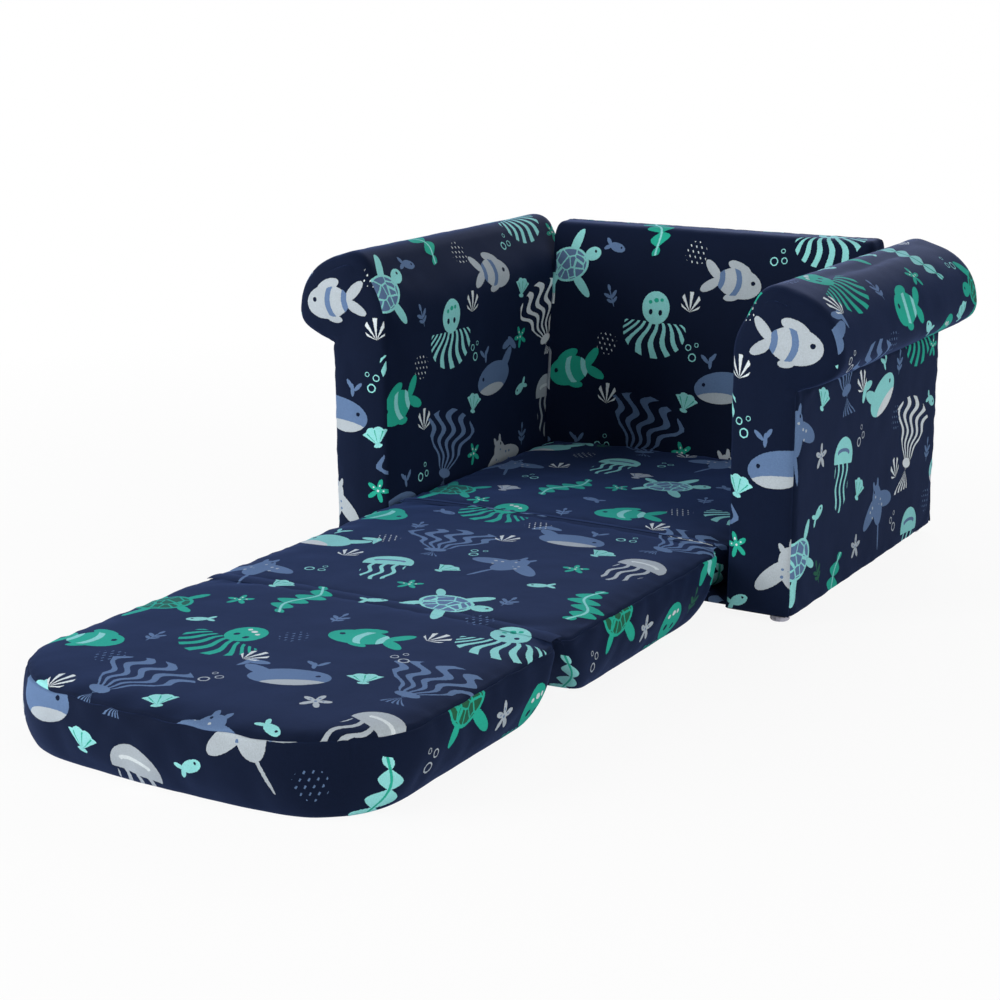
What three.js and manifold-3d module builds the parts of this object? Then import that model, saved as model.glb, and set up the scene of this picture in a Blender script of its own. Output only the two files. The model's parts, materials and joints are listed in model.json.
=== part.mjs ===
// Kids flip open sofa: an upholstered shell with rolled arms, whose seat is the first panel
// of a three-panel mattress that unfolds forward onto the floor.
// Sizes are millimetres. X runs across the sofa, Y from the front to the back and Z up.
// While it is built, Y is zero at the fronts of the arms and Z is zero on the floor.

import * as THREE from 'three';
import { mergeVertices } from 'three/addons/utils/BufferGeometryUtils.js';
import Module from 'manifold-3d';

const wasm = await Module();
wasm.setup();

// Driving dimensions of the shell
const seatWidth = 370;
const seatDepth = 304;
const jointSetback = 10;
const armWidth = 63;
const armHeight = 306;
const rollWidth = 103;
const rollHeight = 92;
const backBelowArms = 4;
const backSeatDepth = 67;
const backTopDepth = 43;
const backLeanStart = 75;
const footHeight = 6;
const footDiameter = 18;
const footInset = 16;
const footSetback = 18;

// Driving dimensions of the mattress
const padThickness = 67;
const padSideClearance = 7;
const foldAllowance = 4;
const hingeGap = 3;
const padCrown = 6;
const padSideBulge = 4.5;
const padBottomInset = 8;
const padHingeDraw = 3;
const padCornerRadius = 16;
const padBottomCornerRadius = 38;
const padEdgeDrop = 2;
const frontCornerRadius = 52;
const frontBow = 22;
const frontNoseShare = 0.55;
const gussetHeight = 3;

// Sheet and board stock
const fabric = 1.8;
const padFabric = 1.2;
const bottomCloth = 1;
const dustCloth = 1;
const dustClothMargin = 6;
const plywood = 9;
const basePlywood = 8;
const hardboard = 4;
const railHeight = 20;
const backRailDepth = 18;
const backRailHeight = 30;
const armInnerFoam = 9;
const armOuterFoam = 5;
const facingDepth = 14;
const facingRound = 12;

// Fasteners
const nailDiameter = 3;
const nailPoint = 1.5;
const nailCover = 1.6;
const footEdge = 1.2;
const screwDiameter = 3.6;
const screwLength = 22;
const screwPoint = 3;
const screwHeadDiameter = 7;
const screwHeadHeight = 2.4;

// Roll corners and fillets
const creaseRadius = 6;
const rollLipRadius = 17;
const rollOuterRadius = 55;
const rollTopRadius = 20;
const rollInnerRadius = 60;
const rollUndersideShare = 0.2;
const rollOuterCornerShare = 0.783;
const rollTopAcrossShare = 0.29;
const rollTopCornerShare = 1.0435;
const rollInnerCornerShare = 0.455;

// Backrest fillets
const backFrontRadius = 16;
const backLeanRadius = 40;
const backCornerRadius = 14;

// Clearance between solids that touch, overrun of a cut, and the part of a straight side that
// its two fillets may take
const fit = 0.3;
const overrun = 5;
const filletShare = 0.98;

// Fineness of round stretches
const arcStep = THREE.MathUtils.degToRad(12);
const leastSteps = 3;
const smallestFillet = 0.4;
const roundSides = 16;
const screwSides = 8;

// Places that follow
const innerX = seatWidth / 2;
const outerX = innerX + armWidth;
const backFaceY = jointSetback + seatDepth;
const armDepth = backFaceY + backSeatDepth;
const dustBottom = footHeight + fit;
const baseBottom = dustBottom + dustCloth + fit;
const baseTop = baseBottom + basePlywood;
const deck = baseTop + fit;
const jointY = jointSetback;
const panelLength = seatDepth - foldAllowance;
const hingeY = jointY - panelLength;
const frontY = hingeY - panelLength;
const creaseHeight = armHeight - rollHeight;
const backHeight = armHeight - backBelowArms;
const padWidth = seatWidth - 2 * padSideClearance;
const hingeCloth = hingeGap - 2 * fit;
const nailTop = baseTop - nailCover;

// Finishes
const finish = (name, color, roughness, metalness = 0) => {
  const material = new THREE.MeshStandardMaterial({ color, roughness, metalness });
  material.name = name;
  return material;
};
const printedVelour = finish('printed velour', 0x22304e, 0.85);
const liningCloth = finish('lining cloth', 0x20242c, 0.95);
const foam = finish('foam', 0xe9dfb8, 1);
const wood = finish('wood', 0xc9a877, 0.75);
const footPlastic = finish('foot plastic', 0xc4c3d2, 0.45);
const steel = finish('steel', 0x9a9da3, 0.35, 1);

// Outline of straight sides and filleted corners, running counter-clockwise. An inset moves
// every side inwards. Each entry has its point, its outward normal and its corner's number.
// Where two fillets would take more than their side has, both give way.
function roundedOutline(corners, inset = 0) {
  const count = corners.length;
  const sides = corners.map((corner, i) => {
    const next = corners[(i + 1) % count];
    const along = new THREE.Vector2(next.x - corner.x, next.y - corner.y);
    const length = along.length();
    along.normalize();
    const outward = new THREE.Vector2(along.y, -along.x);
    const start = new THREE.Vector2(corner.x, corner.y).addScaledVector(outward, -inset);
    return { along, outward, start, length };
  });
  const turns = corners.map((_, i) => {
    const before = sides[(i + count - 1) % count].along;
    const after = sides[i].along;
    return Math.atan2(before.cross(after), before.dot(after));
  });
  const reaches = corners.map(({ radius = 0 }, i) => radius * Math.tan(Math.abs(turns[i]) / 2));
  const room = sides.map(({ length }, i) => {
    const wanted = reaches[i] + reaches[(i + 1) % count];
    return wanted > filletShare * length ? (filletShare * length) / wanted : 1;
  });
  const bends = corners.map((corner, i) => {
    const before = sides[(i + count - 1) % count];
    const after = sides[i];
    const crossing = before.along.cross(after.along);
    const reach = after.start.clone().sub(before.start).cross(after.along) / crossing;
    const vertex = before.start.clone().addScaledVector(before.along, reach);
    const turn = turns[i];
    if (!corner.radius) {
      const normal = before.outward.clone().add(after.outward).normalize();
      return [{ point: vertex, normal, corner: i }];
    }
    const way = Math.sign(turn);
    const full = corner.radius * Math.min(room[(i + count - 1) % count], room[i]);
    const radius = Math.max(full - way * inset, smallestFillet);
    const tangent = radius * Math.tan(Math.abs(turn) / 2);
    const start = vertex.addScaledVector(before.along, -tangent);
    const centre = start.clone().addScaledVector(before.outward, -way * radius);
    const steps = Math.max(leastSteps, Math.ceil(Math.abs(turn) / arcStep));
    return Array.from({ length: steps + 1 }, (_, step) => {
      const normal = before.outward.clone().rotateAround(new THREE.Vector2(), (turn * step) / steps);
      return { point: centre.clone().addScaledVector(normal, way * radius), normal, corner: i };
    });
  });
  return bends.flatMap((bend, i) => {
    const last = bend[bend.length - 1];
    const next = bends[(i + 1) % count][0];
    const steps = corners[i].sideSteps ?? 1;
    const between = Array.from({ length: steps - 1 }, (_, step) => ({
      point: last.point.clone().lerp(next.point, (step + 1) / steps),
      normal: sides[i].outward,
      corner: i,
    }));
    return [...bend, ...between];
  });
}

const pointsOf = (outline) => outline.map((entry) => entry.point);

const rectangle = (x0, x1, y0, y1) => [
  new THREE.Vector2(x0, y0),
  new THREE.Vector2(x1, y0),
  new THREE.Vector2(x1, y1),
  new THREE.Vector2(x0, y1),
];

// Straight prisms along each axis. prismY takes its outline in X and Z, prismX in Y and Z.
function prismZ(points, z0, z1, holes = []) {
  const shape = new THREE.Shape(points);
  shape.holes = holes.map((hole) => new THREE.Path(hole));
  const geometry = new THREE.ExtrudeGeometry(shape, { depth: z1 - z0, bevelEnabled: false });
  return geometry.translate(0, 0, z0);
}

function prismY(points, y0, y1) {
  const shape = new THREE.Shape(points);
  const geometry = new THREE.ExtrudeGeometry(shape, { depth: y1 - y0, bevelEnabled: false });
  return geometry.rotateX(Math.PI / 2).translate(0, y1, 0);
}

function prismX(points, x0, x1) {
  const shape = new THREE.Shape(points);
  const geometry = new THREE.ExtrudeGeometry(shape, { depth: x1 - x0, bevelEnabled: false });
  const turn = new THREE.Matrix4().makeBasis(
    new THREE.Vector3(0, 1, 0),
    new THREE.Vector3(0, 0, 1),
    new THREE.Vector3(1, 0, 0),
  );
  return geometry.applyMatrix4(turn).translate(x0, 0, 0);
}

// Skin over rings of equal length that run counter-clockwise seen from above, with a flat
// cap on the first ring and on the last. The first rings, as many as returning says, may run
// down the inside of a shell: their facets are split as a solid that fills it splits its own.
function loft(rings, returning = 0) {
  const count = rings[0].length;
  const index = [];
  for (let level = 0; level < rings.length - 1; level += 1) {
    for (let i = 0; i < count; i += 1) {
      const a = level * count + i;
      const b = level * count + ((i + 1) % count);
      if (level < returning - 1) {
        index.push(a, b, a + count, b, b + count, a + count);
      } else {
        index.push(a, b, b + count, a, b + count, a + count);
      }
    }
  }
  const cap = (ring, first, facing) => {
    const flat = ring.map((p) => new THREE.Vector2(p.x, p.y));
    for (const [a, b, c] of THREE.ShapeUtils.triangulateShape(flat, [])) {
      const area = flat[b].clone().sub(flat[a]).cross(flat[c].clone().sub(flat[a]));
      const order = area * facing > 0 ? [a, b, c] : [a, c, b];
      index.push(...order.map((i) => first + i));
    }
  };
  cap(rings[0], 0, -1);
  cap(rings[rings.length - 1], (rings.length - 1) * count, 1);
  const geometry = new THREE.BufferGeometry();
  const positions = rings.flat().flatMap((p) => [p.x, p.y, p.z]);
  geometry.setAttribute('position', new THREE.Float32BufferAttribute(positions, 3));
  geometry.setIndex(index);
  return geometry;
}

// Closed mesh to solid and back
function toSolid(geometry) {
  const bare = geometry.clone();
  bare.deleteAttribute('normal');
  bare.deleteAttribute('uv');
  const merged = mergeVertices(bare, 1e-4);
  return new wasm.Manifold(new wasm.Mesh({
    numProp: 3,
    vertProperties: new Float32Array(merged.attributes.position.array),
    triVerts: new Uint32Array(merged.index.array),
  }));
}

function toGeometry(solid) {
  const mesh = solid.getMesh();
  const geometry = new THREE.BufferGeometry();
  geometry.setAttribute('position', new THREE.BufferAttribute(new Float32Array(mesh.vertProperties), 3));
  geometry.setIndex(new THREE.BufferAttribute(new Uint32Array(mesh.triVerts), 1));
  return geometry;
}

const cut = (body, ...tools) =>
  toGeometry(tools.reduce((solid, tool) => solid.subtract(toSolid(tool)), toSolid(body)));

const common = (a, b) => toGeometry(toSolid(a).intersect(toSolid(b)));

// Mirror image across the plane X = 0, with its faces still pointing out
function mirrored(geometry) {
  const bare = geometry.clone();
  bare.deleteAttribute('normal');
  bare.deleteAttribute('uv');
  const merged = mergeVertices(bare, 1e-4);
  merged.scale(-1, 1, 1);
  const index = merged.index.array;
  for (let i = 0; i < index.length; i += 3) {
    [index[i + 1], index[i + 2]] = [index[i + 2], index[i + 1]];
  }
  return merged;
}

const sofa = new THREE.Group();

function add(name, geometry, material) {
  geometry.computeVertexNormals();
  const mesh = new THREE.Mesh(geometry, material);
  mesh.name = name;
  sofa.add(mesh);
}

// Silhouette of the right arm in X and Z, from the foot of its outside face up, over the
// roll and down its inside face
function armOutline(inset, bottom) {
  const corners = [
    { x: outerX, y: bottom - inset },
    { x: outerX, y: creaseHeight, radius: creaseRadius },
    { x: innerX + rollWidth, y: creaseHeight + rollUndersideShare * rollHeight, radius: rollLipRadius },
    { x: innerX + rollWidth, y: creaseHeight + rollOuterCornerShare * rollHeight, radius: rollOuterRadius },
    {
      x: innerX + rollTopAcrossShare * rollWidth,
      y: creaseHeight + rollTopCornerShare * rollHeight,
      radius: rollTopRadius,
    },
    { x: innerX, y: creaseHeight + rollInnerCornerShare * rollHeight, radius: rollInnerRadius },
    { x: innerX, y: bottom - inset },
  ];
  return roundedOutline(corners, inset);
}

// Padded facing at one end of an arm: full silhouette, edge rounded towards the outer face
function armFacing(outerFace, innerFace) {
  const way = Math.sign(innerFace - outerFace);
  const steps = 5;
  const rounds = Array.from({ length: steps + 1 }, (_, step) => {
    const angle = (Math.PI / 2) * (step / steps);
    return {
      inset: facingRound * (1 - Math.sin(angle)),
      y: outerFace + way * facingRound * (1 - Math.cos(angle)),
    };
  });
  const levels = [...rounds, { inset: 0, y: innerFace }];
  levels.sort((a, b) => b.y - a.y);
  const rings = levels.map(({ inset, y }) =>
    roundedOutlineAt(inset).map((p) => new THREE.Vector3(p.x, p.y, -y)));
  return loft(rings).rotateX(Math.PI / 2);
}

// The facing's silhouette keeps its bottom rounded too, so its inset moves the bottom side
const roundedOutlineAt = (inset) => pointsOf(armOutline(inset, baseBottom + inset));

// Strips of cloth that follow a stretch of the arm's silhouette
function armStrip(firstCorner, lastCorner, bottom, y0, y1) {
  const pick = (inset) =>
    armOutline(inset, bottom).filter(({ corner }) => corner >= firstCorner && corner <= lastCorner);
  return prismY([...pointsOf(pick(0)), ...pointsOf(pick(fabric)).reverse()], y0, y1);
}

const frontInner = facingDepth + fit;
const rearInner = armDepth - facingDepth - fit;
const boardInset = fabric + fit;
const foamFront = frontInner + plywood + fit;
const foamRear = rearInner - plywood - fit;
const slotInner = innerX + boardInset + armInnerFoam;
const slotOuter = outerX - boardInset - armOuterFoam;
const slotTop = creaseHeight;

// Screws through the base into a rail: along each arm and along the back
const armScrewShares = [0.2, 0.8];
const backScrewShares = [-0.6, 0.6];
const armRailX = (slotInner + slotOuter) / 2;
const backBoardFront = armDepth - boardInset - plywood;
const backRailY = backBoardFront - fit - backRailDepth / 2;
const screwPlaces = [
  ...[-1, 1].flatMap((side) =>
    armScrewShares.map((share) => [side * armRailX, THREE.MathUtils.lerp(foamFront, foamRear, share)])),
  ...backScrewShares.map((share) => [share * innerX, backRailY]),
];
const footPlaces = [-1, 1].flatMap((side) =>
  [footSetback, armDepth - footSetback].map((y) => [side * (outerX - footInset), y]));

function screw(grow) {
  const head = screwHeadDiameter / 2 + grow;
  const shank = screwDiameter / 2 + grow;
  const profile = [
    new THREE.Vector2(0, baseBottom - grow),
    new THREE.Vector2(head, baseBottom - grow),
    new THREE.Vector2(head, baseBottom + screwHeadHeight + grow),
    new THREE.Vector2(shank, baseBottom + screwHeadHeight + grow),
    new THREE.Vector2(shank, baseBottom + screwLength - screwPoint),
    new THREE.Vector2(0, baseBottom + screwLength + grow),
  ];
  return new THREE.LatheGeometry(profile, screwSides).rotateX(Math.PI / 2);
}

// A lathe turns about Y, so each profile is written as radius and height and then stood up
const placed = (geometry, [x, y]) => geometry.clone().translate(x, y, 0);

const screwHoles = screwPlaces.map((place) => placed(screw(fit), place));

const circle = (radius, [x, y]) =>
  Array.from({ length: roundSides }, (_, i) => {
    const angle = (-2 * Math.PI * i) / roundSides;
    return new THREE.Vector2(x + radius * Math.cos(angle), y + radius * Math.sin(angle));
  });
const nailHoles = footPlaces.map((place) => circle(nailDiameter / 2 + fit, place));

// Arms
for (const [side, mirror] of [['right', (g) => g], ['left', mirrored]]) {
  const piece = (name, geometry, material) => add(`${side}_${name}`, mirror(geometry), material);
  const board = pointsOf(armOutline(boardInset, deck));
  piece('arm_front_board', prismY(board, frontInner, frontInner + plywood), wood);
  piece('arm_rear_board', prismY(board, rearInner - plywood, rearInner), wood);
  const slot = prismY(rectangle(slotInner, slotOuter, deck - overrun, slotTop), foamFront - overrun, foamRear + overrun);
  piece('arm_foam', cut(prismY(board, foamFront, foamRear), slot), foam);
  const innerBoard = rectangle(slotInner + fit, slotInner + fit + hardboard, deck, slotTop - fit);
  const outerBoard = rectangle(slotOuter - fit - hardboard, slotOuter - fit, deck, slotTop - fit);
  piece('arm_inner_board', prismY(innerBoard, foamFront, foamRear), wood);
  piece('arm_outer_board', prismY(outerBoard, foamFront, foamRear), wood);
  const railInner = slotInner + hardboard + 2 * fit;
  const railOuter = slotOuter - hardboard - 2 * fit;
  const rollRail = rectangle(railInner, railOuter, slotTop - fit - railHeight, slotTop - fit);
  const bottomRail = rectangle(railInner, railOuter, deck, deck + railHeight);
  piece('arm_roll_rail', prismY(rollRail, foamFront, foamRear), wood);
  piece('arm_bottom_rail', cut(prismY(bottomRail, foamFront, foamRear), ...screwHoles), wood);
  piece('arm_wrap_cover', armStrip(2, 6, deck, frontInner, rearInner), printedVelour);
  piece('arm_outside_cover', armStrip(0, 1, baseBottom, frontInner, rearInner), printedVelour);
  piece('arm_front_facing', armFacing(0, facingDepth), printedVelour);
  piece('arm_rear_facing', armFacing(armDepth, armDepth - facingDepth), printedVelour);
}

// Backrest
const backSide = innerX - fit;
function backProfile(inset) {
  const rear = armDepth - boardInset;
  return pointsOf(roundedOutline([
    { x: backFaceY, y: deck - inset },
    { x: rear + inset, y: deck - inset },
    { x: rear + inset, y: backHeight },
    { x: armDepth - backTopDepth, y: backHeight, radius: backFrontRadius },
    { x: backFaceY, y: backLeanStart, radius: backLeanRadius },
  ], inset));
}
const backSilhouette = (inset) => pointsOf(roundedOutline([
  { x: -backSide, y: deck - inset },
  { x: backSide, y: deck - inset },
  { x: backSide, y: backHeight, radius: backCornerRadius },
  { x: -backSide, y: backHeight, radius: backCornerRadius },
], inset));
function backSolid(inset) {
  const side = prismX(backProfile(inset), -backSide + inset, backSide - inset);
  return common(side, prismY(backSilhouette(inset), backFaceY - overrun, armDepth + overrun));
}
const backHollow = backSolid(fabric);
const boardOutline = backSilhouette(boardInset);
const backRear = armDepth - boardInset;
const backRail = (bottom, grow) =>
  prismX(
    rectangle(
      backBoardFront - fit - backRailDepth - grow,
      backBoardFront + overrun * Math.sign(grow) - fit,
      bottom - grow,
      bottom + backRailHeight + grow,
    ),
    -backSide + boardInset + backCornerRadius - grow,
    backSide - boardInset - backCornerRadius + grow,
  );
const backTopRailBottom = backHeight - boardInset - backCornerRadius - backRailHeight;
const openRear = prismY(backSilhouette(fabric), backBoardFront, armDepth + overrun);
const openBottom = prismZ(
  rectangle(-backSide + fabric, backSide - fabric, backFaceY + fabric, armDepth + overrun),
  deck - overrun,
  deck + overrun,
);
add('back_cover', cut(backSolid(0), backHollow, openRear, openBottom), printedVelour);
add('back_board', common(prismY(boardOutline, backBoardFront, backRear), backSolid(boardInset)), wood);
const foamCut = prismY(rectangle(-innerX, innerX, 0, armHeight), backBoardFront - fit, armDepth + overrun);
add(
  'back_foam',
  cut(backSolid(boardInset), foamCut, backRail(deck, fit), backRail(backTopRailBottom, fit)),
  foam,
);
add('back_bottom_rail', cut(backRail(deck, 0), ...screwHoles), wood);
add('back_top_rail', backRail(backTopRailBottom, 0), wood);
const outsideCover = rectangle(-backSide, backSide, baseBottom, backHeight - backCornerRadius);
add('back_outside_cover', prismY(outsideCover, armDepth - fabric, armDepth), printedVelour);

// Base
const seatPadFront = jointY + hingeGap / 2;
const baseEdge = outerX - boardInset;
const baseOutline = [
  [baseEdge, frontInner], [baseEdge, rearInner],
  [backSide, rearInner], [backSide, backRear],
  [-backSide, backRear], [-backSide, rearInner],
  [-baseEdge, rearInner], [-baseEdge, frontInner],
  [-innerX, frontInner], [-innerX, seatPadFront],
  [innerX, seatPadFront], [innerX, frontInner],
].map(([x, y]) => new THREE.Vector2(x, y));
const baseBoard = prismZ(baseOutline, baseBottom, baseTop, nailHoles);
add('base_board', cut(baseBoard, ...screwHoles), wood);
const dustEdge = outerX - dustClothMargin;
const dustOutline = [
  [dustEdge, dustClothMargin], [dustEdge, armDepth - dustClothMargin],
  [-dustEdge, armDepth - dustClothMargin], [-dustEdge, dustClothMargin],
  [-innerX, dustClothMargin], [-innerX, seatPadFront + dustClothMargin],
  [innerX, seatPadFront + dustClothMargin], [innerX, dustClothMargin],
].map(([x, y]) => new THREE.Vector2(x, y));
add('dust_cloth', prismZ(dustOutline, dustBottom, dustBottom + dustCloth, nailHoles), liningCloth);
screwPlaces.forEach((place, i) => add(`base_screw_${i + 1}`, placed(screw(0), place), steel));

// Feet: a plastic glide with its nail
const footRadius = footDiameter / 2;
const foot = new THREE.LatheGeometry([
  new THREE.Vector2(0, 0),
  new THREE.Vector2(footRadius - footEdge, 0),
  new THREE.Vector2(footRadius, footEdge),
  new THREE.Vector2(footRadius, footHeight - footEdge),
  new THREE.Vector2(footRadius - footEdge, footHeight),
  new THREE.Vector2(nailDiameter / 2, footHeight),
  new THREE.Vector2(nailDiameter / 2, nailTop - nailPoint),
  new THREE.Vector2(0, nailTop),
], roundSides).rotateX(Math.PI / 2);
const footNames = ['left_front_foot', 'left_rear_foot', 'right_front_foot', 'right_rear_foot'];
footPlaces.forEach((place, i) => add(footNames[i], placed(foot, place), footPlastic));

// Mattress panels. Each lies from its floor up, between its front and rear ends. An end that
// meets a neighbour is drawn in below its top edge, and every other border swells.
const pads = {
  seat_pad: { front: seatPadFront, rear: backFaceY - fit, floor: deck, freeFront: false },
  mid_pad: { front: hingeY + hingeGap / 2, rear: jointY - hingeGap / 2, floor: 0, freeFront: false },
  front_pad: { front: frontY, rear: hingeY - hingeGap / 2, floor: 0, freeFront: true },
};
const sideRises = [0, 0.18, 0.5, 0.82, 1];
const inwardShares = [0.03, 0.14, 0.4, 0.7];
const sideStepCount = 4;
const endStepCount = 6;
const halfPad = padWidth / 2;

function padHeight(pad, x, y) {
  const across = Math.abs(x) / halfPad;
  const along = pad.freeFront ? Math.max(0, (pad.rear - y) / (pad.rear - pad.front)) : 0;
  const level = (1 - Math.min(1, across) ** 4) * (1 - Math.min(1, along) ** 6);
  return padThickness - padCrown * (1 - level);
}

function padOutline(pad, rise) {
  const radius = THREE.MathUtils.lerp(padBottomCornerRadius, padCornerRadius, rise);
  const frontRadius = pad.freeFront ? frontCornerRadius : radius;
  const front = pad.freeFront ? pad.front + frontBow : pad.front;
  const noseTurn = 2 * Math.atan(frontBow / halfPad);
  const noseRadius = (frontNoseShare * halfPad) / Math.tan(noseTurn / 2);
  const nose = { x: 0, y: pad.front, radius: noseRadius, sideSteps: 2 };
  const corners = [
    { x: halfPad, y: front, radius: frontRadius, sideSteps: sideStepCount },
    { x: halfPad, y: pad.rear, radius, sideSteps: endStepCount },
    { x: -halfPad, y: pad.rear, radius, sideSteps: sideStepCount },
    { x: -halfPad, y: front, radius: frontRadius, sideSteps: pad.freeFront ? 2 : endStepCount },
  ];
  return roundedOutline(pad.freeFront ? [...corners, nose] : corners);
}

// Border ring at a share of the height, and a ring of the top at a share of the way in
function padBorder(pad, rise, bottom, thickness) {
  return padOutline(pad, rise).map(({ point, normal }) => {
    const meets = pad.freeFront && normal.y < 0 ? 0 : normal.y ** 2;
    const swell = Math.sin(Math.PI * rise) * THREE.MathUtils.lerp(padSideBulge, -padHingeDraw, meets);
    const out = swell - padBottomInset * (1 - rise) ** 2 - thickness;
    const x = point.x + normal.x * out;
    const y = point.y + normal.y * out;
    const seam = padHeight(pad, point.x, point.y) - padEdgeDrop - thickness;
    return new THREE.Vector3(x, y, THREE.MathUtils.lerp(bottom, seam, rise));
  });
}

function padTop(pad, inwardShare, thickness) {
  const middle = (pad.front + pad.rear) / 2;
  return padBorder(pad, 1, 0, thickness).map((p) => {
    const x = p.x * (1 - inwardShare);
    const y = THREE.MathUtils.lerp(p.y, middle, inwardShare);
    return new THREE.Vector3(x, y, padHeight(pad, x, y) - thickness);
  });
}

const padRings = (pad, bottom, thickness) => [
  ...sideRises.map((rise) => padBorder(pad, rise, bottom, thickness)),
  ...inwardShares.map((share) => padTop(pad, share, thickness)),
];

for (const [name, pad] of Object.entries(pads)) {
  const clothTop = pad.floor + bottomCloth;
  const bottom = clothTop + fit;
  const outside = padRings(pad, bottom, 0);
  const inside = padRings(pad, bottom, padFabric);
  add(`${name}_cover`, loft([...inside.reverse(), ...outside], inside.length), printedVelour);
  add(`${name}_foam`, loft(padRings(pad, bottom, padFabric + fit)), foam);
  const cloth = padBorder(pad, 0, 0, 0).map((p) => new THREE.Vector2(p.x, p.y));
  const bottomFinish = pad.floor ? liningCloth : printedVelour;
  add(`${name}_bottom_cloth`, prismZ(cloth, pad.floor, clothTop), bottomFinish);
}

// Cloth hinges: a gusset between the seat and mid pads, a sewn seam between mid and front pads
const hingeHalf = halfPad - padCornerRadius;
const gussetTop = padThickness - padCrown;
const gusset = rectangle(jointY - hingeCloth / 2, jointY + hingeCloth / 2, gussetTop - gussetHeight, gussetTop);
add('seat_hinge_gusset', prismX(gusset, -hingeHalf, hingeHalf), printedVelour);
const seamRadius = hingeCloth / 2;
const seamSides = 8;
const seamSection = Array.from({ length: seamSides }, (_, i) => {
  const angle = (2 * Math.PI * (i + 0.5)) / seamSides;
  return new THREE.Vector2(
    hingeY + seamRadius * Math.cos(angle),
    padThickness - padCrown + seamRadius * Math.sin(angle),
  );
});
add('front_hinge_seam', prismX(seamSection, -hingeHalf, hingeHalf), printedVelour);

// The origin is on the floor under the middle of the whole object
const extent = new THREE.Box3().setFromObject(sofa);
sofa.position.set(0, -(extent.min.y + extent.max.y) / 2, 0);

const part = new THREE.Group();
part.add(sofa);

export default part;
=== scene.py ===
"""Looks of a child's flip open sofa in printed velour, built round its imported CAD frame."""

import json
import math

import bmesh
import bpy
import numpy as np
from bpy.props import FloatProperty, FloatVectorProperty, IntProperty, PointerProperty
from mathutils import Matrix, Vector, noise


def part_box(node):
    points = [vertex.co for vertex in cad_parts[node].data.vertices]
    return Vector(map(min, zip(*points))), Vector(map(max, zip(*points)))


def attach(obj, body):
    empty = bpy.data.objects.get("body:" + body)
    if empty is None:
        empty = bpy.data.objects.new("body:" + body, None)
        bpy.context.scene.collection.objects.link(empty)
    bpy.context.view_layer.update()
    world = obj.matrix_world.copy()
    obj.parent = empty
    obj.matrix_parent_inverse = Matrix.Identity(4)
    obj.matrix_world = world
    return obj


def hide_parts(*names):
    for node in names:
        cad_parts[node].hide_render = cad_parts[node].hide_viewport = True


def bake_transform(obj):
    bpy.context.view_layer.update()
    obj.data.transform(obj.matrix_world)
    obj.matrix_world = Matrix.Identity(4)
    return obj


bl_info = {
    "name": "Flip open sofa",
    "version": (1, 0, 0),
    "blender": (4, 5, 0),
    "location": "3D View > Sidebar > Sofa",
    "description": "Upholstered looks of a child's flip open sofa, with a printed velour cover",
    "category": "Object",
}

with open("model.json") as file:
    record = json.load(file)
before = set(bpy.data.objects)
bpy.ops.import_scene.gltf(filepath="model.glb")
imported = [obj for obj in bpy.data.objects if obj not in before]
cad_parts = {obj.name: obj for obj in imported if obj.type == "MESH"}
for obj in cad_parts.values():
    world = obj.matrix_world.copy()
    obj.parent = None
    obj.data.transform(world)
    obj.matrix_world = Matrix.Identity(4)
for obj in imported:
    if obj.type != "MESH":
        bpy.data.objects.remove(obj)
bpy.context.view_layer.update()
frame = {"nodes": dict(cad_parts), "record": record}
UV_NAME = "print"
TINY = 1e-9
SIDES = (("right", 1), ("left", -1))


def corner(node, end, axis):
    """One figure of a CAD node's box, in metres: end 0 is low, 1 is high."""
    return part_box(node)[end][axis]


ARM_FRONT = corner("right_arm_front_facing", 0, 1)
ARM_REAR = corner("right_arm_rear_facing", 1, 1)
ARM_INNER = corner("right_arm_front_facing", 0, 0)
ROLL_OUTER = corner("right_arm_front_facing", 1, 0)
ARM_BOTTOM = corner("right_arm_front_facing", 0, 2)
CLEARANCE = 0.0003  # between two solids that touch in the real sofa
CREASE = corner("right_arm_roll_rail", 1, 2) + CLEARANCE
DECK = corner("right_arm_wrap_cover", 0, 2)
PAD_TOP = corner("mid_pad_cover", 1, 2)
SEAT_JOINT = (corner("seat_pad_cover", 0, 1) + corner("mid_pad_cover", 1, 1)) / 2
FRONT_JOINT = (corner("mid_pad_cover", 0, 1) + corner("front_pad_cover", 1, 1)) / 2


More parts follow.
